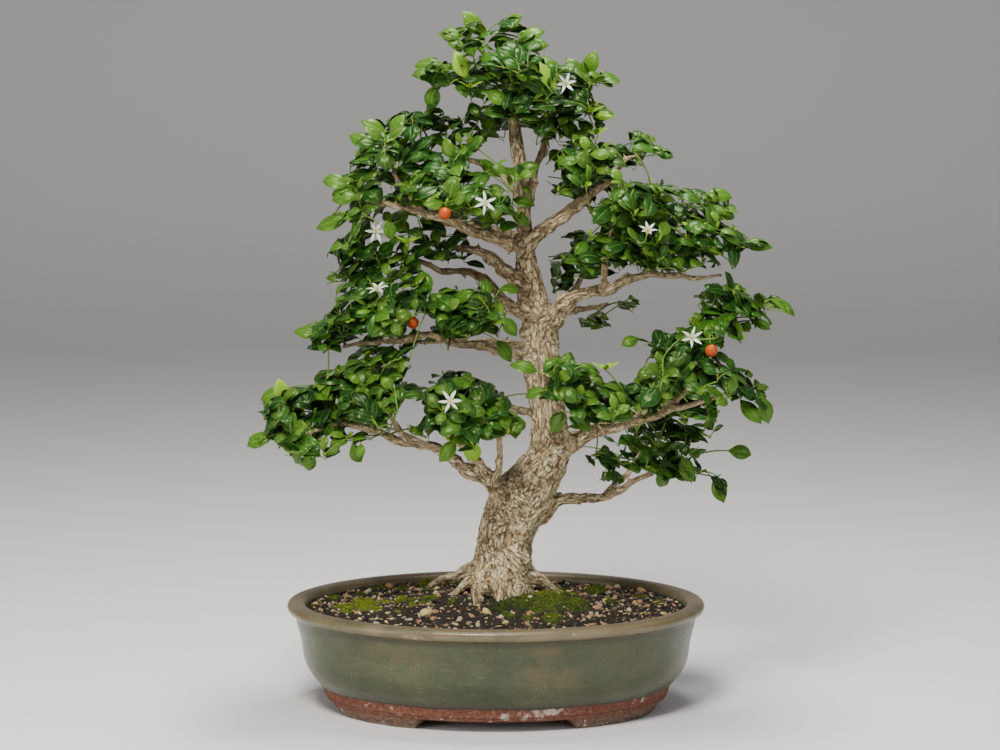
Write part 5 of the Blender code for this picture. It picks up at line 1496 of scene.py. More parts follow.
# Moss cushions: column, row, half their columns and rows, height in millimetres and how yellow each is.
MOSS = [
    (500, 610, 11, 6, 5, 0.3), (521, 605, 14, 9, 7, 0.5), (549, 604, 18, 10, 7.5, 0.6),
    (553, 619, 11, 4, 4, 0.6), (577, 607, 13, 7, 5, 0.5), (595, 594, 13, 4, 3.6, 0.5),
    (349, 610, 8, 4, 3, 0.8), (366, 607, 12, 5, 4, 0.8), (386, 591, 8, 3, 3.6, 0.6),
    (400, 603, 7, 3, 2.8, 0.7), (334, 601, 7, 2, 2.6, 0.6), (424, 604, 6, 3, 2.6, 0.5),
    (452, 606, 5, 2, 2.2, 0.5), (612, 604, 7, 3, 2.4, 0.4), (640, 600, 6, 2, 2.2, 0.5),
    (426, 588, 8, 2, 3, 0.6), (357, 604, 4, 2, 2.4, 0.9), (378, 611, 5, 2, 2.4, 0.8),
    (398, 613, 3, 1, 2, 0.9), (412, 607, 4, 2, 2.2, 0.8), (402, 592, 5, 2, 2.4, 0.5),
    (340, 608, 4, 1, 2, 0.9), (508, 617, 6, 2, 2.6, 0.6), (528, 619, 6, 2, 2.4, 0.6),
    (537, 613, 6, 3, 3, 0.6),
]
# Pebbles that stand out: column, row, size in millimetres, kind (0 dark to 1 white, 2.4 yellow, 3 tan).
STONES = [
    (486, 615, 4.6, 2), (501, 619, 3.6, 1), (523, 600, 4.4, 1), (530, 604, 3, 1), (390, 592, 6, 3),
    (315, 606, 3.4, 1), (322, 604, 3.8, 1), (330, 607, 3, 1), (345, 603, 3, 0.8), (426, 615, 6.2, 2.4),
    (434, 620, 4, 3), (600, 608, 3.6, 0.7), (622, 604, 3.2, 0.9), (641, 609, 3.4, 0.5), (660, 604, 3, 3),
    (590, 600, 3.2, 0.8), (676, 600, 3.4, 0.7), (536, 598, 3, 0.9), (466, 598, 3.4, 3), (609, 592, 4.2, 3),
    (487, 594, 3.6, 3), (493, 597, 3.4, 3), (608, 597, 3.6, 1), (617, 590, 3.4, 1), (596, 610, 3.8, 2.4),
    (630, 612, 3.6, 1),
]
SOIL_RINGS = 84
SOIL_SIDES = 300
SOIL_GAP = 0.0003
MOSS_PIXEL = 0.00095  # half a cushion's width for each of its columns
WILD_MOSS = 46  # cushions tried behind the trunk, where the photograph shows none
WILD_MOSS_FRONT = -0.03
GRAVEL = 2900
BARK_BITS = 340
MOSS_TUFTS = 15000
GRAVEL_SIZE = (0.0016, 0.34, 0.0042)  # middle, spread and limit
ROUND_STONE = 0.0026  # stones over this size are rounder
TRUNK_FOOT = 0.125  # below this height, limbs keep stones and moss away


def soil_height(share, degrees):
    t = math.radians(degrees)
    lumps = 0.0012 * math.sin(3 * t + 4 * share) + 0.0009 * math.sin(5 * t - 7 * share)
    return SOIL_EDGE + SOIL_RISE * (1 - share) ** 1.3 + lumps * math.sin(math.pi * share)


def wall_inset(height):
    (upper, high), (lower, low) = POT_SKIN[-3], POT_SKIN[-2]
    return lower + (upper - lower) * (height - low) / (high - low)


def soil_share(point):
    """How far out on the soil a place is, from 0 in the middle to 1 at the wall, and at which angle."""
    edge = wall_inset(SOIL_EDGE)
    x, y = (point.x - MIDDLE.x) / (POT_LENGTH / 2 - edge), (point.y - MIDDLE.y) / (POT_WIDTH / 2 - edge)
    return math.hypot(x, y), math.degrees(math.atan2(y, x))


def on_soil(column, row):
    """The place on the soil that the photograph shows at a pixel."""
    low, high = -0.16, 0.16
    for _ in range(30):
        middle = (low + high) / 2
        point = seen(column, row, middle)
        share, degrees = soil_share(point)
        if point.z > soil_height(min(share, 1), degrees):
            low = middle
        else:
            high = middle
    return seen(column, row, (low + high) / 2)


class Soil(Shape):
    """The soil while it is laid out, with its moss, stones and bits of bark."""

    def __init__(self, lines):
        super().__init__()
        self.rng = random.Random(3)
        self.edge = wall_inset(SOIL_EDGE) + SOIL_GAP
        self.moss = [self.cushion(*row) for row in MOSS]
        self.moss += [found for found in (self.wild_cushion() for _ in range(WILD_MOSS)) if found]
        self.wood = [(point, radius) for path, radii in lines[:1 + len(ROOTS)]
                     for point, radius in zip(path, radii) if point.z < TRUNK_FOOT]

    def cushion(self, column, row, wide, deep, high, yellow):
        a_row = (on_soil(column, row - 1) - on_soil(column, row + 1)).length / 2
        return on_soil(column, row), wide * MOSS_PIXEL, deep * a_row, high / MM, yellow

    def wild_cushion(self):
        rng = self.rng
        angle, share = rng.uniform(0, 2 * math.pi), rng.uniform(0.35, 0.97)
        spot = MIDDLE + (oval_point(self.edge, math.degrees(angle)) - MIDDLE) * share
        if spot.y - MIDDLE.y <= WILD_MOSS_FRONT:
            return None
        size = rng.uniform(0.004, 0.013)
        return spot, size, size * rng.uniform(0.6, 1), rng.uniform(0.0016, 0.0042), rng.uniform(0.3, 0.9)

    def surface(self, x, y):
        """The soil's height at a place, and how green and how yellow it is there."""
        flat = Vector((x, y, 0))
        share, degrees = soil_share(flat)
        height = soil_height(min(share, 1), degrees) + 0.0032 * (1 - smooth_step(0.20, 0.62, min(share, 1)))
        cells, _ = noise.voronoi(flat / 0.0036 + Vector((0, 0, 3)))
        small, _ = noise.voronoi(flat / 0.0019 + Vector((5, 0, 3)))
        grain = (0.55 - cells[0]) * 0.0024 + (0.5 - small[0]) * 0.0009 + 0.0012 * noise.noise(flat * 60)
        green, yellow = 0.0, 0.5
        for spot, wide, deep, high, hue in self.moss:
            reach = math.hypot((x - spot.x) / wide, (y - spot.y) / deep)
            reach += 0.28 * noise.noise(Vector((x * 260, y * 260, 1)))
            if reach < 1.15:
                cover = 1 - smooth_step(0.85, 1.12, reach)
                if cover > green:
                    green, yellow = cover, hue
                height += high * math.sqrt(max(0, 1 - min(reach, 1) ** 2)) * 0.5
        fuzz = 0.0006 * noise.noise(flat * 900) + 0.0007 * noise.noise(flat * 420)
        return height + (grain * (1 - 0.75 * green) + green * fuzz), green, yellow

    def lay_ground(self):
        """The upper surface, and the mass below it down to the pot's floor."""
        n = SOIL_SIDES
        for i in range(SOIL_RINGS + 1):
            share = (i / SOIL_RINGS) ** 0.85
            for k in range(n if i else 1):
                point = MIDDLE + (oval_point(self.edge, 360 * k / n) - MIDDLE) * share
                height, green, yellow = self.surface(point.x, point.y)
                self.points.append(Vector((point.x, point.y, height)))
                self.mark(green, yellow, 0.0, self.rng.random())
        self.faces += [(0, 1 + k, 1 + (k + 1) % n) for k in range(n)]
        for i in range(1, SOIL_RINGS):
            for k in range(n):
                a, b = 1 + (i - 1) * n + k, 1 + (i - 1) * n + (k + 1) % n
                self.faces.append((a, a + n, b + n, b))
        above = 1 + (SOIL_RINGS - 1) * n
        for (inset, height), lift in zip(POT_SKIN[-2:], (0, 0.0014)):
            below = len(self.points)
            rise = UP * (height + lift)
            self.points += [oval_point(inset + SOIL_GAP, 360 * k / n) + rise for k in range(n)]
            for k in range(n):
                after = (k + 1) % n
                self.faces.append((above + k, below + k, below + after, above + after))
            above = below
        self.mark(0, 0.5, 0.0, 0.5)
        self.faces.append(tuple(range(above + n - 1, above - 1, -1)))

    def clear_of_wood(self, x, y):
        return all(math.hypot(x - point.x, y - point.y) > radius for point, radius in self.wood)

    def somewhere(self):
        way = oval_point(self.edge + 0.002, self.rng.uniform(0, 360)) - MIDDLE
        spot = MIDDLE + way * math.sqrt(self.rng.uniform(0.02, 0.97))
        return spot.x, spot.y

    def stone(self, x, y, size, kind, length=1.0):
        rng, height = self.rng, self.surface(x, y)[0]
        turn = Matrix.Rotation(rng.uniform(0, 6.28), 3, "Z")
        turn = turn @ Matrix.Rotation(rng.uniform(-0.6, 0.6), 3, "Y")
        form = (size * length, size * rng.uniform(0.60, 0.95), size * rng.uniform(0.45, 0.75))
        first = len(self.points)
        self.ball(Vector((x, y, height + form[2] * 0.30)), form, turn, 2 if size > ROUND_STONE else 1)
        for j in range(first, len(self.points)):
            self.points[j] = self.points[j] + noise.noise_vector(self.points[j] * 420) * size * 0.42
        self.mark(0.0, 0.5, 1.0 + kind, rng.random())

    def gravel_kind(self, roll):
        """Mostly dark grains, then brown, orange tan, yellow and white ones."""
        if roll < 0.46:
            return self.rng.uniform(0, 0.2)
        if roll < 0.66:
            return self.rng.uniform(0.25, 0.55)
        if roll < 0.88:
            return 3.0 if roll < 0.80 else 2.4
        return self.rng.uniform(0.75, 1)

    def scatter_gravel(self):
        middle, spread, limit = GRAVEL_SIZE
        for _ in range(GRAVEL):
            x, y = self.somewhere()
            size, roll = min(limit, self.rng.lognormvariate(math.log(middle), spread)), self.rng.random()
            kind = self.gravel_kind(roll)
            if self.clear_of_wood(x, y) and self.surface(x, y)[1] < 0.4:
                self.stone(x, y, size, kind, self.rng.uniform(1.0, 1.7))

    def scatter_bark_bits(self):
        rng = self.rng
        for _ in range(BARK_BITS):
            x, y = self.somewhere()
            if self.clear_of_wood(x, y):
                angle, length = rng.uniform(0, 6.28), rng.uniform(0.0025, 0.0070)
                start = Vector((x, y, self.surface(x, y)[0] + 0.0006))
                end = start + Vector((math.cos(angle), math.sin(angle), rng.uniform(-0.05, 0.25))) * length
                self.tube([start, (start + end) / 2 + UP * 0.0004, end], [0.00035, 0.00045, 0.0003], 4)
                self.mark(0.0, 0.5, 1.0 + rng.choice((0.1, 0.4, 2.4, 3.0)), rng.random())

    def grow_moss(self):
        """Small pointed blades on the cushions, more on the big ones."""
        rng, weights = self.rng, [max(0.00001, wide * deep) for _, wide, deep, _, _ in self.moss]
        for _ in range(MOSS_TUFTS):
            spot, wide, deep, _, hue = rng.choices(self.moss, weights)[0]
            x, y = spot.x + wide * rng.gauss(0, 0.55), spot.y + deep * rng.gauss(0, 0.55)
            if soil_share(Vector((x, y, 0)))[0] > 0.985 or not self.clear_of_wood(x, y):
                continue
            height, green, _ = self.surface(x, y)
            if green < rng.uniform(0.05, 0.5):
                continue
            angle, length = rng.uniform(0, 6.28), rng.uniform(0.0010, 0.0026)
            side = around(angle)[0] * 0.00032
            lean = Vector((rng.gauss(0, 0.45), rng.gauss(0, 0.45), 1)).normalized() * length
            base, first, luck = Vector((x, y, height - 0.0002)), len(self.points), rng.random()
            yellow = hue * 0.6 + 0.4 * luck
            for bright, corners in ((0.0, (base - side, base + side)),
                                    (0.2, (base + lean * 0.6 + side, base + lean * 0.6 - side)),
                                    (0.35, (base + lean,))):
                self.points += corners
                self.mark(1.0, yellow, bright, luck)
            self.faces += [(first, first + 1, first + 2, first + 3), (first + 3, first + 2, first + 4)]


def build_soil(look, lines):
    soil = Soil(lines)
    soil.lay_ground()
    for column, row, size, kind in STONES:
        spot = on_soil(column, row)
        soil.stone(spot.x, spot.y, size / MM, kind)
    soil.scatter_gravel()
    soil.scatter_bark_bits()
    soil.grow_moss()
    settle("soil_and_moss", soil.mesh("soil_and_moss"), look, "soil")


# Materials.

class Look:
    """A node material, built up from its Principled shader."""

    def __init__(self, name, roughness, **settings):
        self.material = bpy.data.materials.new(name)
        self.material.use_nodes = True
        self.nodes, self.links = self.material.node_tree.nodes, self.material.node_tree.links
        self.shader = self.nodes["Principled BSDF"]
        self.shader.inputs["Roughness"].default_value = roughness
        for key, value in settings.items():
            self.shader.inputs[key.replace("_", " ")].default_value = value

    def fill(self, socket, value):
        if isinstance(value, bpy.types.NodeSocket):
            self.links.new(value, socket)
        else:
            socket.default_value = value

    def node(self, kind, inputs=(), **settings):
        made = self.nodes.new(kind)
        for key, value in settings.items():
            setattr(made, key, value)
        for key, value in dict(inputs).items():
            self.fill(made.inputs[key], value)
        return made

    def stored(self, name):
        """The four numbers that a mesh holds for each point under this name."""
        made = self.node("ShaderNodeAttribute", attribute_name=name)
        return (*self.parts(made.outputs["Vector"]), made.outputs["Alpha"])

    def place(self):
        return self.node("ShaderNodeTexCoord").outputs["Object"]

    def parts(self, vector):
        return self.node("ShaderNodeSeparateXYZ", {"Vector": vector}).outputs[:3]

    def joined(self, x, y, z):
        return self.node("ShaderNodeCombineXYZ", {"X": x, "Y": y, "Z": z}).outputs["Vector"]

    def vector(self, operation, a, b=(0, 0, 0), output="Vector"):
        return self.node("ShaderNodeVectorMath", {0: a, 1: b}, operation=operation).outputs[output]

    def math(self, operation, a, b=0.0, clamped=False):
        return self.node("ShaderNodeMath", {0: a, 1: b}, operation=operation, use_clamp=clamped).outputs[0]

    def times(self, a, b):
        return self.math("MULTIPLY", a, b)

    def larger(self, a, b):
        return self.math("MAXIMUM", a, b)

    def summed(self, *terms):
        """The sum of several values, each times its weight."""
        total = self.times(*terms[0])
        for term in terms[1:]:
            total = self.math("ADD", total, self.times(*term))
        return total

    def varied(self, value, noise, reach):
        """A value that a noise moves up and down."""
        return self.math("ADD", value, self.times(self.math("SUBTRACT", noise, 0.5), reach))

    def apart(self, value, middle):
        """How far a value lies from a middle one."""
        return self.math("ABSOLUTE", self.math("SUBTRACT", value, middle))

    def noise(self, vector, scale, detail=3.0, roughness=0.55):
        inputs = {"Vector": vector, "Scale": scale, "Detail": detail, "Roughness": roughness}
        return self.node("ShaderNodeTexNoise", inputs).outputs["Fac"]

    def cells(self, vector, scale, feature="F1"):
        inputs = {"Vector": vector, "Scale": scale}
        return self.node("ShaderNodeTexVoronoi", inputs, feature=feature).outputs["Distance"]

    def patch(self, place, centre, reach):
        """A soft patch about a point, three times as wide as high, from 1 at its middle to 0 at its edge."""
        apart = self.vector("MULTIPLY", self.vector("SUBTRACT", place, tuple(centre)), (0.5, 0.5, 1.5))
        return self.span(self.vector("LENGTH", apart, output="Value"), reach * 0.4, reach, 1, 0)

    def span(self, value, low, high, start=0.0, end=1.0):
        """Start where a value is low, end where it is high, and a smooth change between."""
        inputs = {"Value": value, "From Min": low, "From Max": high, "To Min": start, "To Max": end}
        return self.node("ShaderNodeMapRange", inputs, interpolation_type="SMOOTHSTEP").outputs["Result"]

    def blend(self, share, a, b):
        made = self.node("ShaderNodeMix", data_type="RGBA")
        for key, kind, value in (("Factor", "VALUE", share), ("A", "RGBA", a), ("B", "RGBA", b)):
            fits = [each for each in made.inputs if each.enabled and (each.name, each.type) == (key, kind)]
            self.fill(fits[0], (*value, 1) if isinstance(value, tuple) else value)
        return next(each for each in made.outputs if each.type == "RGBA")

    def ramp(self, value, *stops):
        """A colour for a value, by stops of a position and a colour."""
        made = self.node("ShaderNodeValToRGB", {"Fac": value})
        points = made.color_ramp.elements
        points[0].position, points[1].position = stops[0][0], stops[-1][0]
        points[0].color, points[1].color = (*stops[0][1], 1), (*stops[-1][1], 1)
        for position, colour in stops[1:-1]:
            points.new(position).color = (*colour, 1)
        return made.outputs["Color"]

    def finish(self, colour, *layers):
        """Sets the colour and raises the surface by several heights, each with its depth in metres."""
        self.links.new(colour, self.shader.inputs["Base Color"])
        normal = None
        for height, depth in layers:
            made = self.node("ShaderNodeBump", {"Height": height, "Distance": depth, "Strength": 1.0})
            if normal:
                self.links.new(normal, made.inputs["Normal"])
            normal = made.outputs["Normal"]
        self.links.new(normal, self.shader.inputs["Normal"])
        return self.material


def bark_look():
    look = Look("bark_fine", 0.88, Specular_IOR_Level=0.25)
    across_x, across_y, along, _ = look.stored("grain")
    height, low, young, crack = look.stored("marks")
    place = look.place()
    inputs = {"Vector": place, "Scale": 150.0, "Detail": 2.0}
    wobble = look.node("ShaderNodeTexNoise", inputs).outputs["Color"]
    long_way = look.joined(across_x, across_y, look.times(along, 0.22))
    long_way = look.vector("ADD", long_way, look.vector("MULTIPLY", wobble, (0.0032, 0.0032, 0.0032)))
    ring_way = look.joined(look.times(across_x, 0.3), look.times(across_y, 0.3), along)
    plates = look.node("ShaderNodeTexVoronoi", {"Vector": long_way, "Scale": 330.0})
    plate_high = look.parts(plates.outputs["Color"])[0]
    plate_edge = look.span(look.cells(long_way, 330, "DISTANCE_TO_EDGE"), 0.0, 0.16)
    streaks = look.noise(long_way, 620, 6, 0.75)
    threads = look.noise(long_way, 1700, 4, 0.70)
    broad = look.noise(place, 30, 4, 0.6)
    fine = look.noise(place, 1700, 4, 0.7)
    rings = look.noise(ring_way, 520, 3)

    tone = look.summed((height, 0.30), (streaks, 0.36), (threads, 0.22), (plate_high, 0.12))
    bark = look.ramp(tone, (0.25, (0.072, 0.038, 0.015)), (0.355, (0.345, 0.212, 0.090)),
                     (0.45, (0.780, 0.575, 0.310)), (0.58, (1.000, 0.860, 0.570)))
    bark = look.blend(look.span(broad, 0.48, 0.70, 0, 0.40), bark, (0.450, 0.310, 0.165))
    # Higher up, where the crown shades it, it is darker: painted shade. It is also grey in patches.
    bark = look.blend(look.span(look.parts(place)[2], 0.24, 0.42, 0, 0.42), bark, (0.320, 0.210, 0.095))
    bark = look.blend(look.span(look.noise(place, 80, 4), 0.54, 0.72, 0, 0.30), bark, (0.285, 0.225, 0.135))
    bark = look.blend(look.times(look.math("SUBTRACT", 1.0, plate_edge), 0.34), bark, (0.110, 0.066, 0.034))
    bark = look.blend(look.times(crack, 0.74), bark, (0.048, 0.027, 0.013))
    # Winding cracks run along the limb.
    winding = look.span(look.apart(look.noise(long_way, 210, 5, 0.62), 0.5), 0.004, 0.022, 1, 0)
    winding = look.times(winding, look.span(broad, 0.36, 0.52, 0.35, 0.85))
    bark = look.blend(winding, bark, (0.060, 0.032, 0.015))
    twig = look.ramp(look.summed((rings, 0.6), (fine, 0.4)), (0.32, (0.140, 0.087, 0.042)),
                     (0.50, (0.450, 0.325, 0.175)), (0.70, (0.760, 0.625, 0.390)))
    bark = look.blend(look.times(young, 0.75), bark, twig)
    bark = look.blend(look.times(low, 0.14), bark, (0.180, 0.120, 0.065))
    plate_bump = look.times(plate_edge, look.math("ADD", 0.45, look.times(plate_high, 0.55)))
    return look.finish(bark, (plate_bump, 0.0011), (streaks, 0.0009), (threads, 0.0004), (fine, 0.00018),
                       (winding, -0.0007))


def leaf_look():
    look = Look("leaf_fine", 0.34, Specular_IOR_Level=0.32, Specular_Tint=(0.80, 1.0, 0.45, 1.0))
    along, across, tone, _ = look.stored("marks")
    is_leaf, fresh, _, _ = look.stored("kind")
    place = look.place()
    off = look.apart(across, 0.5)
    rib = look.span(off, 0.010, 0.045, 1, 0)
    # Side veins run outwards and forwards from the rib.
    slant = look.math("SUBTRACT", along, look.times(off, 0.62))
    slant = look.math("ADD", slant, look.times(look.noise(place, 260, 2), 0.03))
    veins = look.span(look.math("SINE", look.times(slant, 64.0)), 0.86, 1.0, 0, 1)
    mottle = look.noise(place, 160, 4, 0.6)
    shade = look.varied(look.varied(tone, mottle, 0.28), look.noise(place, 42, 2), 0.30)
    leaf = look.ramp(shade, (0.05, (0.003, 0.017, 0.004)), (0.34, (0.006, 0.036, 0.006)),
                     (0.56, (0.014, 0.065, 0.008)), (0.78, (0.034, 0.112, 0.008)),
                     (1.00, (0.120, 0.262, 0.014)))
    leaf = look.blend(look.span(off, 0.40, 0.50, 0, 0.35), leaf, (0.075, 0.135, 0.018))
    leaf = look.blend(look.times(veins, 0.11), leaf, (0.11, 0.21, 0.03))
    leaf = look.blend(look.times(rib, 0.44), leaf, (0.15, 0.27, 0.035))
    leaf = look.blend(look.times(fresh, 0.75), leaf, (0.26, 0.44, 0.035))
    stem = look.ramp(tone, (0.10, (0.085, 0.055, 0.022)), (0.40, (0.085, 0.130, 0.022)),
                     (0.80, (0.160, 0.290, 0.040)))
    look.fill(look.shader.inputs["Roughness"], look.span(mottle, 0.3, 0.75, 0.24, 0.38))
    ribs = look.larger(look.times(veins, 0.5), rib)
    return look.finish(look.blend(is_leaf, stem, leaf), (ribs, -0.00020), (mottle, 0.00009))


def petal_look():
    look = Look("petal_fine", 0.55, Specular_IOR_Level=0.3, Subsurface_Weight=0.25, Subsurface_Scale=0.002)
    along, across, kind, _ = look.stored("marks")
    lines = look.math("SINE", look.times(across, 60.0))
    veil = look.noise(look.place(), 700, 3)
    white = look.ramp(along, (0.0, (0.52, 0.60, 0.26)), (0.22, (0.82, 0.83, 0.72)),
                      (1.0, (0.88, 0.88, 0.84)))
    white = look.blend(look.span(veil, 0.4, 0.7, 0, 0.12), white, (0.62, 0.62, 0.50))
    centre = look.ramp(kind, (0.15, (0.80, 0.82, 0.66)), (0.6, (0.34, 0.44, 0.10)),
                       (0.8, (0.55, 0.55, 0.14)), (1.0, (0.74, 0.52, 0.10)))
    colour = look.blend(look.span(kind, 0.01, 0.10), white, centre)
    return look.finish(colour, (lines, 0.00006), (veil, 0.00008))


def fruit_look():
    look = Look("fruit_fine", 0.28, Specular_IOR_Level=0.28)
    high, _, kind, _ = look.stored("marks")
    place = look.place()
    skin = look.ramp(look.summed((high, 0.4), (look.noise(place, 150, 3), 0.6)),
                     (0.25, (0.30, 0.034, 0.0005)), (0.55, (0.42, 0.070, 0.001)),
                     (0.85, (0.50, 0.125, 0.002)))
    pores = look.span(look.cells(place, 900), 0.0, 0.35)
    return look.finish(look.blend(kind, skin, (0.13, 0.17, 0.04)), (pores, 0.00012))


# Marks on the pot: column, row and reach in millimetres; and how far inside the rim's oval the wall is.
LIME_PATCHES = [(514, 718, 10), (540, 714, 10), (553, 712, 9), (640, 702, 8), (436, 720, 6)]
CLAY_INSET = 0.033
CHIPS = [(408, 636, 4.0), (417, 638, 4.5), (426, 640, 2.8), (575, 634, 2.2)]
LIP_INSET = 0.001
# Where the glaze runs thin: height, width of the line and how much of the clay shows.
THIN_LINES = ((0.1008, 0.0016, 0.70), (0.1046, 0.0008, 0.60), (0.0940, 0.0014, 0.75))
UNDER_LIP = 0.0908
GLAZE_END = (0.0232, 0.0252)
SEAM = 0.0248
FOOT_JOINT = 0.0148
INNER_GLAZE_END = (0.080, 0.092)


def on_wall(column, row, inset):
    """The place on the pot's front wall that the photograph shows at a pixel."""
    x = seen(column, row, 0.9 * (inset - POT_WIDTH / 2)).x - MIDDLE.x
    bow = math.sqrt(1 - (x / (POT_LENGTH / 2 - inset)) ** 2)
    return seen(column, row, (inset - POT_WIDTH / 2) * bow)


def glaze_colour(look, place, wavy, drift, fine):
    """Olive glaze, clouded and flecked, thin and brown over the rim, with painted shade under the lip and
    low on the belly.
    """
    x, y, z = look.parts(place)
    glaze = look.ramp(look.summed((look.noise(place, 9, 4, 0.6), 0.5), (drift, 0.5)),
                      (0.30, (0.020, 0.029, 0.011)), (0.50, (0.040, 0.050, 0.020)),
                      (0.70, (0.074, 0.080, 0.034)))
    runs = look.noise(look.joined(x, y, look.times(z, 0.12)), 120, 3)
    glaze = look.blend(look.span(runs, 0.45, 0.75, 0, 0.22), glaze, (0.078, 0.076, 0.036))
    wide_way = look.joined(look.times(x, 0.16), look.times(y, 0.16), z)
    bands = look.span(look.noise(wide_way, 330, 5, 0.7), 0.50, 0.72, 0, 0.32)
    glaze = look.blend(bands, glaze, (0.100, 0.094, 0.050))
    brown = look.noise(place, 17, 5, 0.65)
    glaze = look.blend(look.span(brown, 0.52, 0.70, 0, 0.55), glaze, (0.105, 0.068, 0.027))
    pits = look.span(look.cells(place, 620), 0.08, 0.22, 0.55, 0.0)
    glaze = look.blend(pits, glaze, (0.210, 0.205, 0.125))
    flecks = look.times(look.span(look.cells(place, 260), 0.05, 0.16, 0.7, 0), look.span(drift, 0.42, 0.60))
    glaze = look.blend(flecks, glaze, (0.330, 0.300, 0.200))
    glaze = look.blend(look.span(fine, 0.55, 0.75, 0, 0.40), glaze, (0.020, 0.025, 0.013))
    lip = look.times(look.span(wavy, 0.0928, 0.0960), look.span(brown, 0.32, 0.64, 0.30, 0.85))
    glaze = look.blend(lip, glaze, (0.190, 0.150, 0.088))
    for height, wide, share in THIN_LINES:
        band = look.span(look.apart(wavy, height), 0.0, wide, share, 0)
        band = look.times(band, look.span(drift, 0.35, 0.6, 0.25, 1.0))
        glaze = look.blend(band, glaze, (0.150, 0.072, 0.032))
    # Painted shade: dark under the overhanging lip, and on the low belly that faces down above the glaze's
    # end.
    painted_shade_below = look.span(look.apart(wavy, UNDER_LIP), 0.0, 0.0045, 0.55, 0)
    painted_shade_below = look.larger(painted_shade_below, look.span(wavy, 0.0250, 0.0340, 0.85, 0))
    return look.blend(painted_shade_below, glaze, (0.030, 0.028, 0.014))


def clay_colour(look, place, foot, clay_noise, lime, fine):
    """Bare red clay, earthy towards the feet, with lime on it and worn low edges."""
    z = look.parts(place)[2]
    clay = look.ramp(clay_noise, (0.30, (0.080, 0.026, 0.016)), (0.50, (0.155, 0.056, 0.035)),
                     (0.70, (0.270, 0.120, 0.080)))
    earthy = look.ramp(clay_noise, (0.32, (0.060, 0.040, 0.028)), (0.52, (0.130, 0.082, 0.058)),
                       (0.70, (0.260, 0.190, 0.140)))
    clay = look.blend(look.times(foot, look.span(z, 0.0135, 0.0060, 0.20, 0.90)), clay, earthy)
    clay = look.blend(look.span(lime, 0.60, 0.68, 0, 0.75), clay, (0.50, 0.45, 0.38))
    worn = look.times(look.span(z, 0.0, 0.004, 0.60, 0), look.span(fine, 0.4, 0.6))
    clay = look.blend(worn, clay, (0.42, 0.36, 0.28))
    joint = look.span(look.apart(z, FOOT_JOINT), 0.0, 0.0009, 0.80, 0)
    return look.blend(joint, clay, (0.030, 0.018, 0.012))


def pot_look():
    look = Look("glaze_fine", 0.30, Specular_IOR_Level=0.36, Coat_Weight=0.12, Coat_Roughness=0.14)
    _, within, foot, _ = look.stored("marks")
    place = look.place()
    z = look.parts(place)[2]
    drift = look.noise(place, 26, 4, 0.6)
    fine = look.noise(place, 420, 4, 0.65)
    glaze = glaze_colour(look, place, look.varied(z, drift, 0.0030), drift, fine)
    for column, row, reach in CHIPS:
        patch = look.patch(place, on_wall(column, row, LIP_INSET), reach / MM)
        ragged = look.span(look.noise(place, 620, 3), 0.48, 0.58, 0, 0.8)
        glaze = look.blend(look.times(patch, ragged), glaze, (0.44, 0.32, 0.21))
    lime = look.noise(place, 120, 5, 0.72)
    for column, row, reach in LIME_PATCHES:
        patch = look.patch(place, on_wall(column, row, CLAY_INSET), reach / MM)
        lime = look.math("ADD", lime, look.times(patch, 0.10))
    clay_noise = look.noise(place, 300, 5, 0.7)
    clay = clay_colour(look, place, foot, clay_noise, lime, fine)
    line = look.varied(z, drift, 0.004)
    bare_within = look.times(within, look.span(z, *INNER_GLAZE_END, 1, 0))
    bare = look.larger(look.span(line, *GLAZE_END, 1, 0), bare_within)
    seam = look.span(look.apart(line, SEAM), 0.0, 0.0016, 0.9, 0)
    seam = look.times(seam, look.span(lime, 0.60, 0.70, 1, 0))
    rough = look.math("ADD", look.span(bare, 0, 1, 0.25, 0.85), look.span(fine, 0.3, 0.7, 0.0, 0.14),
                      clamped=True)
    look.fill(look.shader.inputs["Roughness"], rough)
    look.fill(look.shader.inputs["Coat Weight"], look.span(bare, 0, 1, 0.14, 0.0))
    return look.finish(look.blend(seam, look.blend(bare, glaze, clay), (0.020, 0.014, 0.010)),
                       (look.times(clay_noise, bare), 0.0010), (fine, 0.00022), (drift, 0.0008))


def soil_look():
    look = Look("soil_fine", 0.92)
    green, yellow, kind, _ = look.stored("marks")
    place = look.place()
    fine = look.noise(place, 900, 5, 0.7)
    grain = look.noise(place, 260, 4, 0.65)
    earth = look.ramp(look.summed((fine, 0.5), (grain, 0.5)), (0.32, (0.003, 0.002, 0.002)),
                      (0.52, (0.016, 0.011, 0.007)), (0.66, (0.060, 0.040, 0.024)),
                      (0.8, (0.16, 0.11, 0.07)))
    bright = look.varied(look.times(look.math("SUBTRACT", kind, 1.0), 0.85), fine, 0.35)
    stone = look.ramp(bright, (0.0, (0.008, 0.006, 0.004)), (0.25, (0.050, 0.034, 0.022)),
                      (0.50, (0.220, 0.160, 0.100)), (1.0, (0.640, 0.550, 0.400)))
    ochre = look.blend(fine, (0.45, 0.33, 0.10), (0.66, 0.54, 0.24))
    stone = look.blend(look.span(kind, 2.4, 2.6), stone, ochre)
    tan = look.blend(fine, (0.220, 0.100, 0.042), (0.460, 0.290, 0.150))
    stone = look.blend(look.span(kind, 3.4, 3.6), stone, tan)
    # The moss darkens where its noise is low: the fine noise is its own fuzz, and the coarser clump noise
    # paints shade between its clumps.
    fuzz = look.summed((look.noise(place, 1600, 4, 0.7), 0.6), (look.noise(place, 420, 3), 0.4))
    moss = look.ramp(look.summed((fuzz, 0.45), (yellow, 0.36), (kind, 0.55)),
                     (0.36, (0.006, 0.014, 0.001)), (0.49, (0.062, 0.098, 0.004)),
                     (0.66, (0.320, 0.380, 0.014)))
    ground = look.blend(look.span(kind, 0.4, 0.6), earth, stone)
    return look.finish(look.blend(green, ground, moss), (fine, 0.0008), (grain, 0.0010),
                       (look.times(fuzz, green), 0.0012))


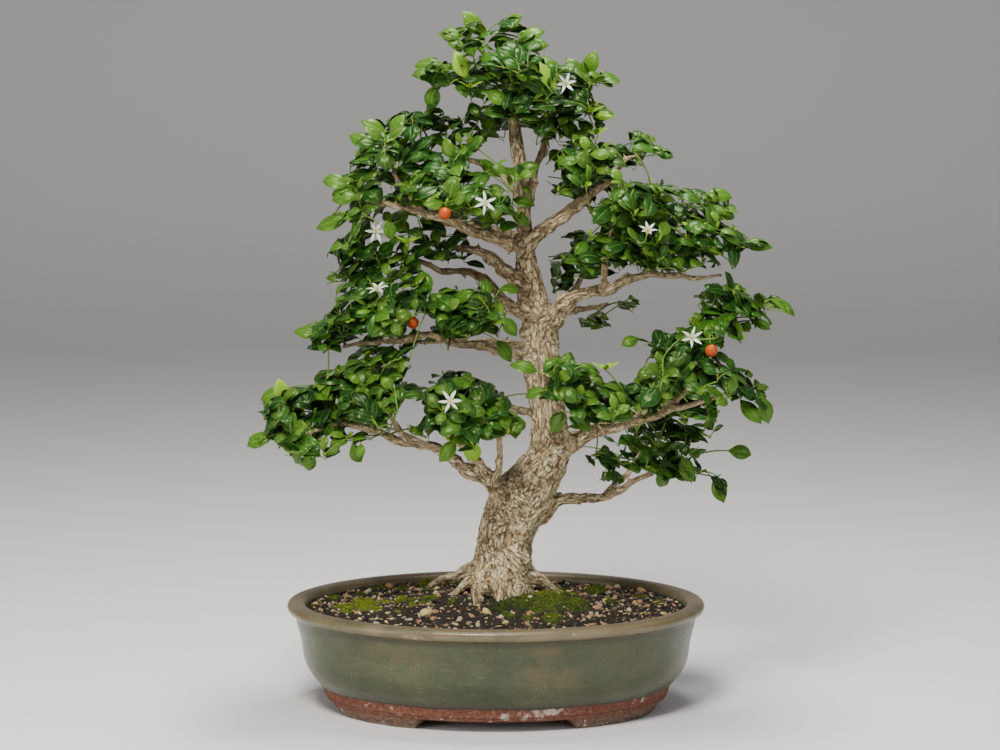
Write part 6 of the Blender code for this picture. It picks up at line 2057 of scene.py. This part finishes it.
def mesh_look():
    look = Look("drain_mesh_fine", 0.60)
    weave = look.noise(look.place(), 800, 3)
    return look.finish(look.blend(weave, (0.020, 0.022, 0.020), (0.060, 0.064, 0.058)), (weave, 0.0002))


# Floor, light and camera.

# The floor's profile from its front edge to the top of its rise: depth and height.
FLOOR_ROWS = [(-6.0, 0.0), (3.2, 0.0), (3.6, 0.03), (3.9, 0.14), (4.1, 0.36), (4.2, 0.7), (4.22, 3.0)]
FLOOR_HALF = 6
FLOOR_COLOUR = (0.72, 0.71, 0.69, 1)
SKY_COLOUR = (0.95, 0.97, 1.0, 1)
SKY_STRENGTH = 0.20
# Lamps: name, place, what each points at, size, power and colour.
LAMPS = [
    ("key", (-0.35, -1.45, 1.85), (0, 0, 0.35), 0.60, 60.0, (1.0, 0.97, 0.92)),
    ("fill", (1.40, -1.50, 0.90), (0, 0, 0.35), 1.20, 10.0, (0.92, 0.96, 1.0)),
    ("side", (-1.50, -1.20, 0.55), (0, 0, 0.26), 0.90, 16.0, (1.0, 0.97, 0.92)),
    ("top", (0.10, 0.10, 1.80), (0, 0, 0.35), 0.70, 34.0, (1.0, 0.99, 0.97)),
]
SENSOR_WIDTH = 36.0
# The view is raised a little about the pot's rim, to show as much of its far side as the photograph.
VIEW_RISE = math.radians(1.0)
VIEW_PIVOT = Vector((0, -0.10, 0.10))


def build_stage():
    floor_look = Look("studio_floor", 0.85)
    floor_look.shader.inputs["Base Color"].default_value = FLOOR_COLOUR
    mesh = bpy.data.meshes.new("studio_floor")
    points = [(x, y, z) for y, z in FLOOR_ROWS for x in (-FLOOR_HALF, FLOOR_HALF)]
    strips = [(2 * i, 2 * i + 1, 2 * i + 3, 2 * i + 2) for i in range(len(FLOOR_ROWS) - 1)]
    mesh.from_pydata(points, [], strips)
    mesh.materials.append(floor_look.material)
    mesh.polygons.foreach_set("use_smooth", [True] * len(mesh.polygons))
    in_scene("studio_floor", mesh)

    world = bpy.data.worlds.new("studio")
    world.use_nodes = True
    world.node_tree.nodes["Background"].inputs["Color"].default_value = SKY_COLOUR
    world.node_tree.nodes["Background"].inputs["Strength"].default_value = SKY_STRENGTH
    bpy.context.scene.world = world
    for name, place, aim, size, power, colour in LAMPS:
        light = bpy.data.lights.new(name, "AREA")
        light.shape, light.size, light.energy, light.color = "DISK", size, power, colour
        lamp = in_scene(name, light)
        lamp.location = place
        lamp.rotation_euler = (Vector(aim) - Vector(place)).to_track_quat("-Z", "Y").to_euler()


def build_camera():
    camera = bpy.data.cameras.new("photo_camera")
    camera.sensor_width = SENSOR_WIDTH
    camera.lens = SENSOR_WIDTH * FOCAL_PIXELS / PHOTO_WIDTH
    holder = in_scene("photo_camera", camera)
    rise = Matrix.Rotation(-VIEW_RISE, 3, "X")
    holder.location = MIDDLE + VIEW_PIVOT + rise @ (CAMERA - VIEW_PIVOT)
    holder.rotation_euler = (math.pi / 2 - CAMERA_PITCH - VIEW_RISE, 0, 0)
    bpy.context.scene.camera = holder


def main():
    lines = build_wood(bark_look())
    build_sprays(leaf_look(), lines)
    petal, fruit = petal_look(), fruit_look()
    for i, (_, *flower) in enumerate(FLOWERS):
        build_flower(i + 1, petal, *flower)
    for i, (_, *berry) in enumerate(FRUITS):
        build_fruit(i + 1, fruit, *berry)
    build_pot(pot_look())
    build_soil(soil_look(), lines)
    drain = mesh_look()
    for side in ("left", "right"):
        materials = bpy.data.objects[f"drain_mesh_{side}"].data.materials
        materials.clear()
        materials.append(drain)
    build_stage()
    build_camera()


main()
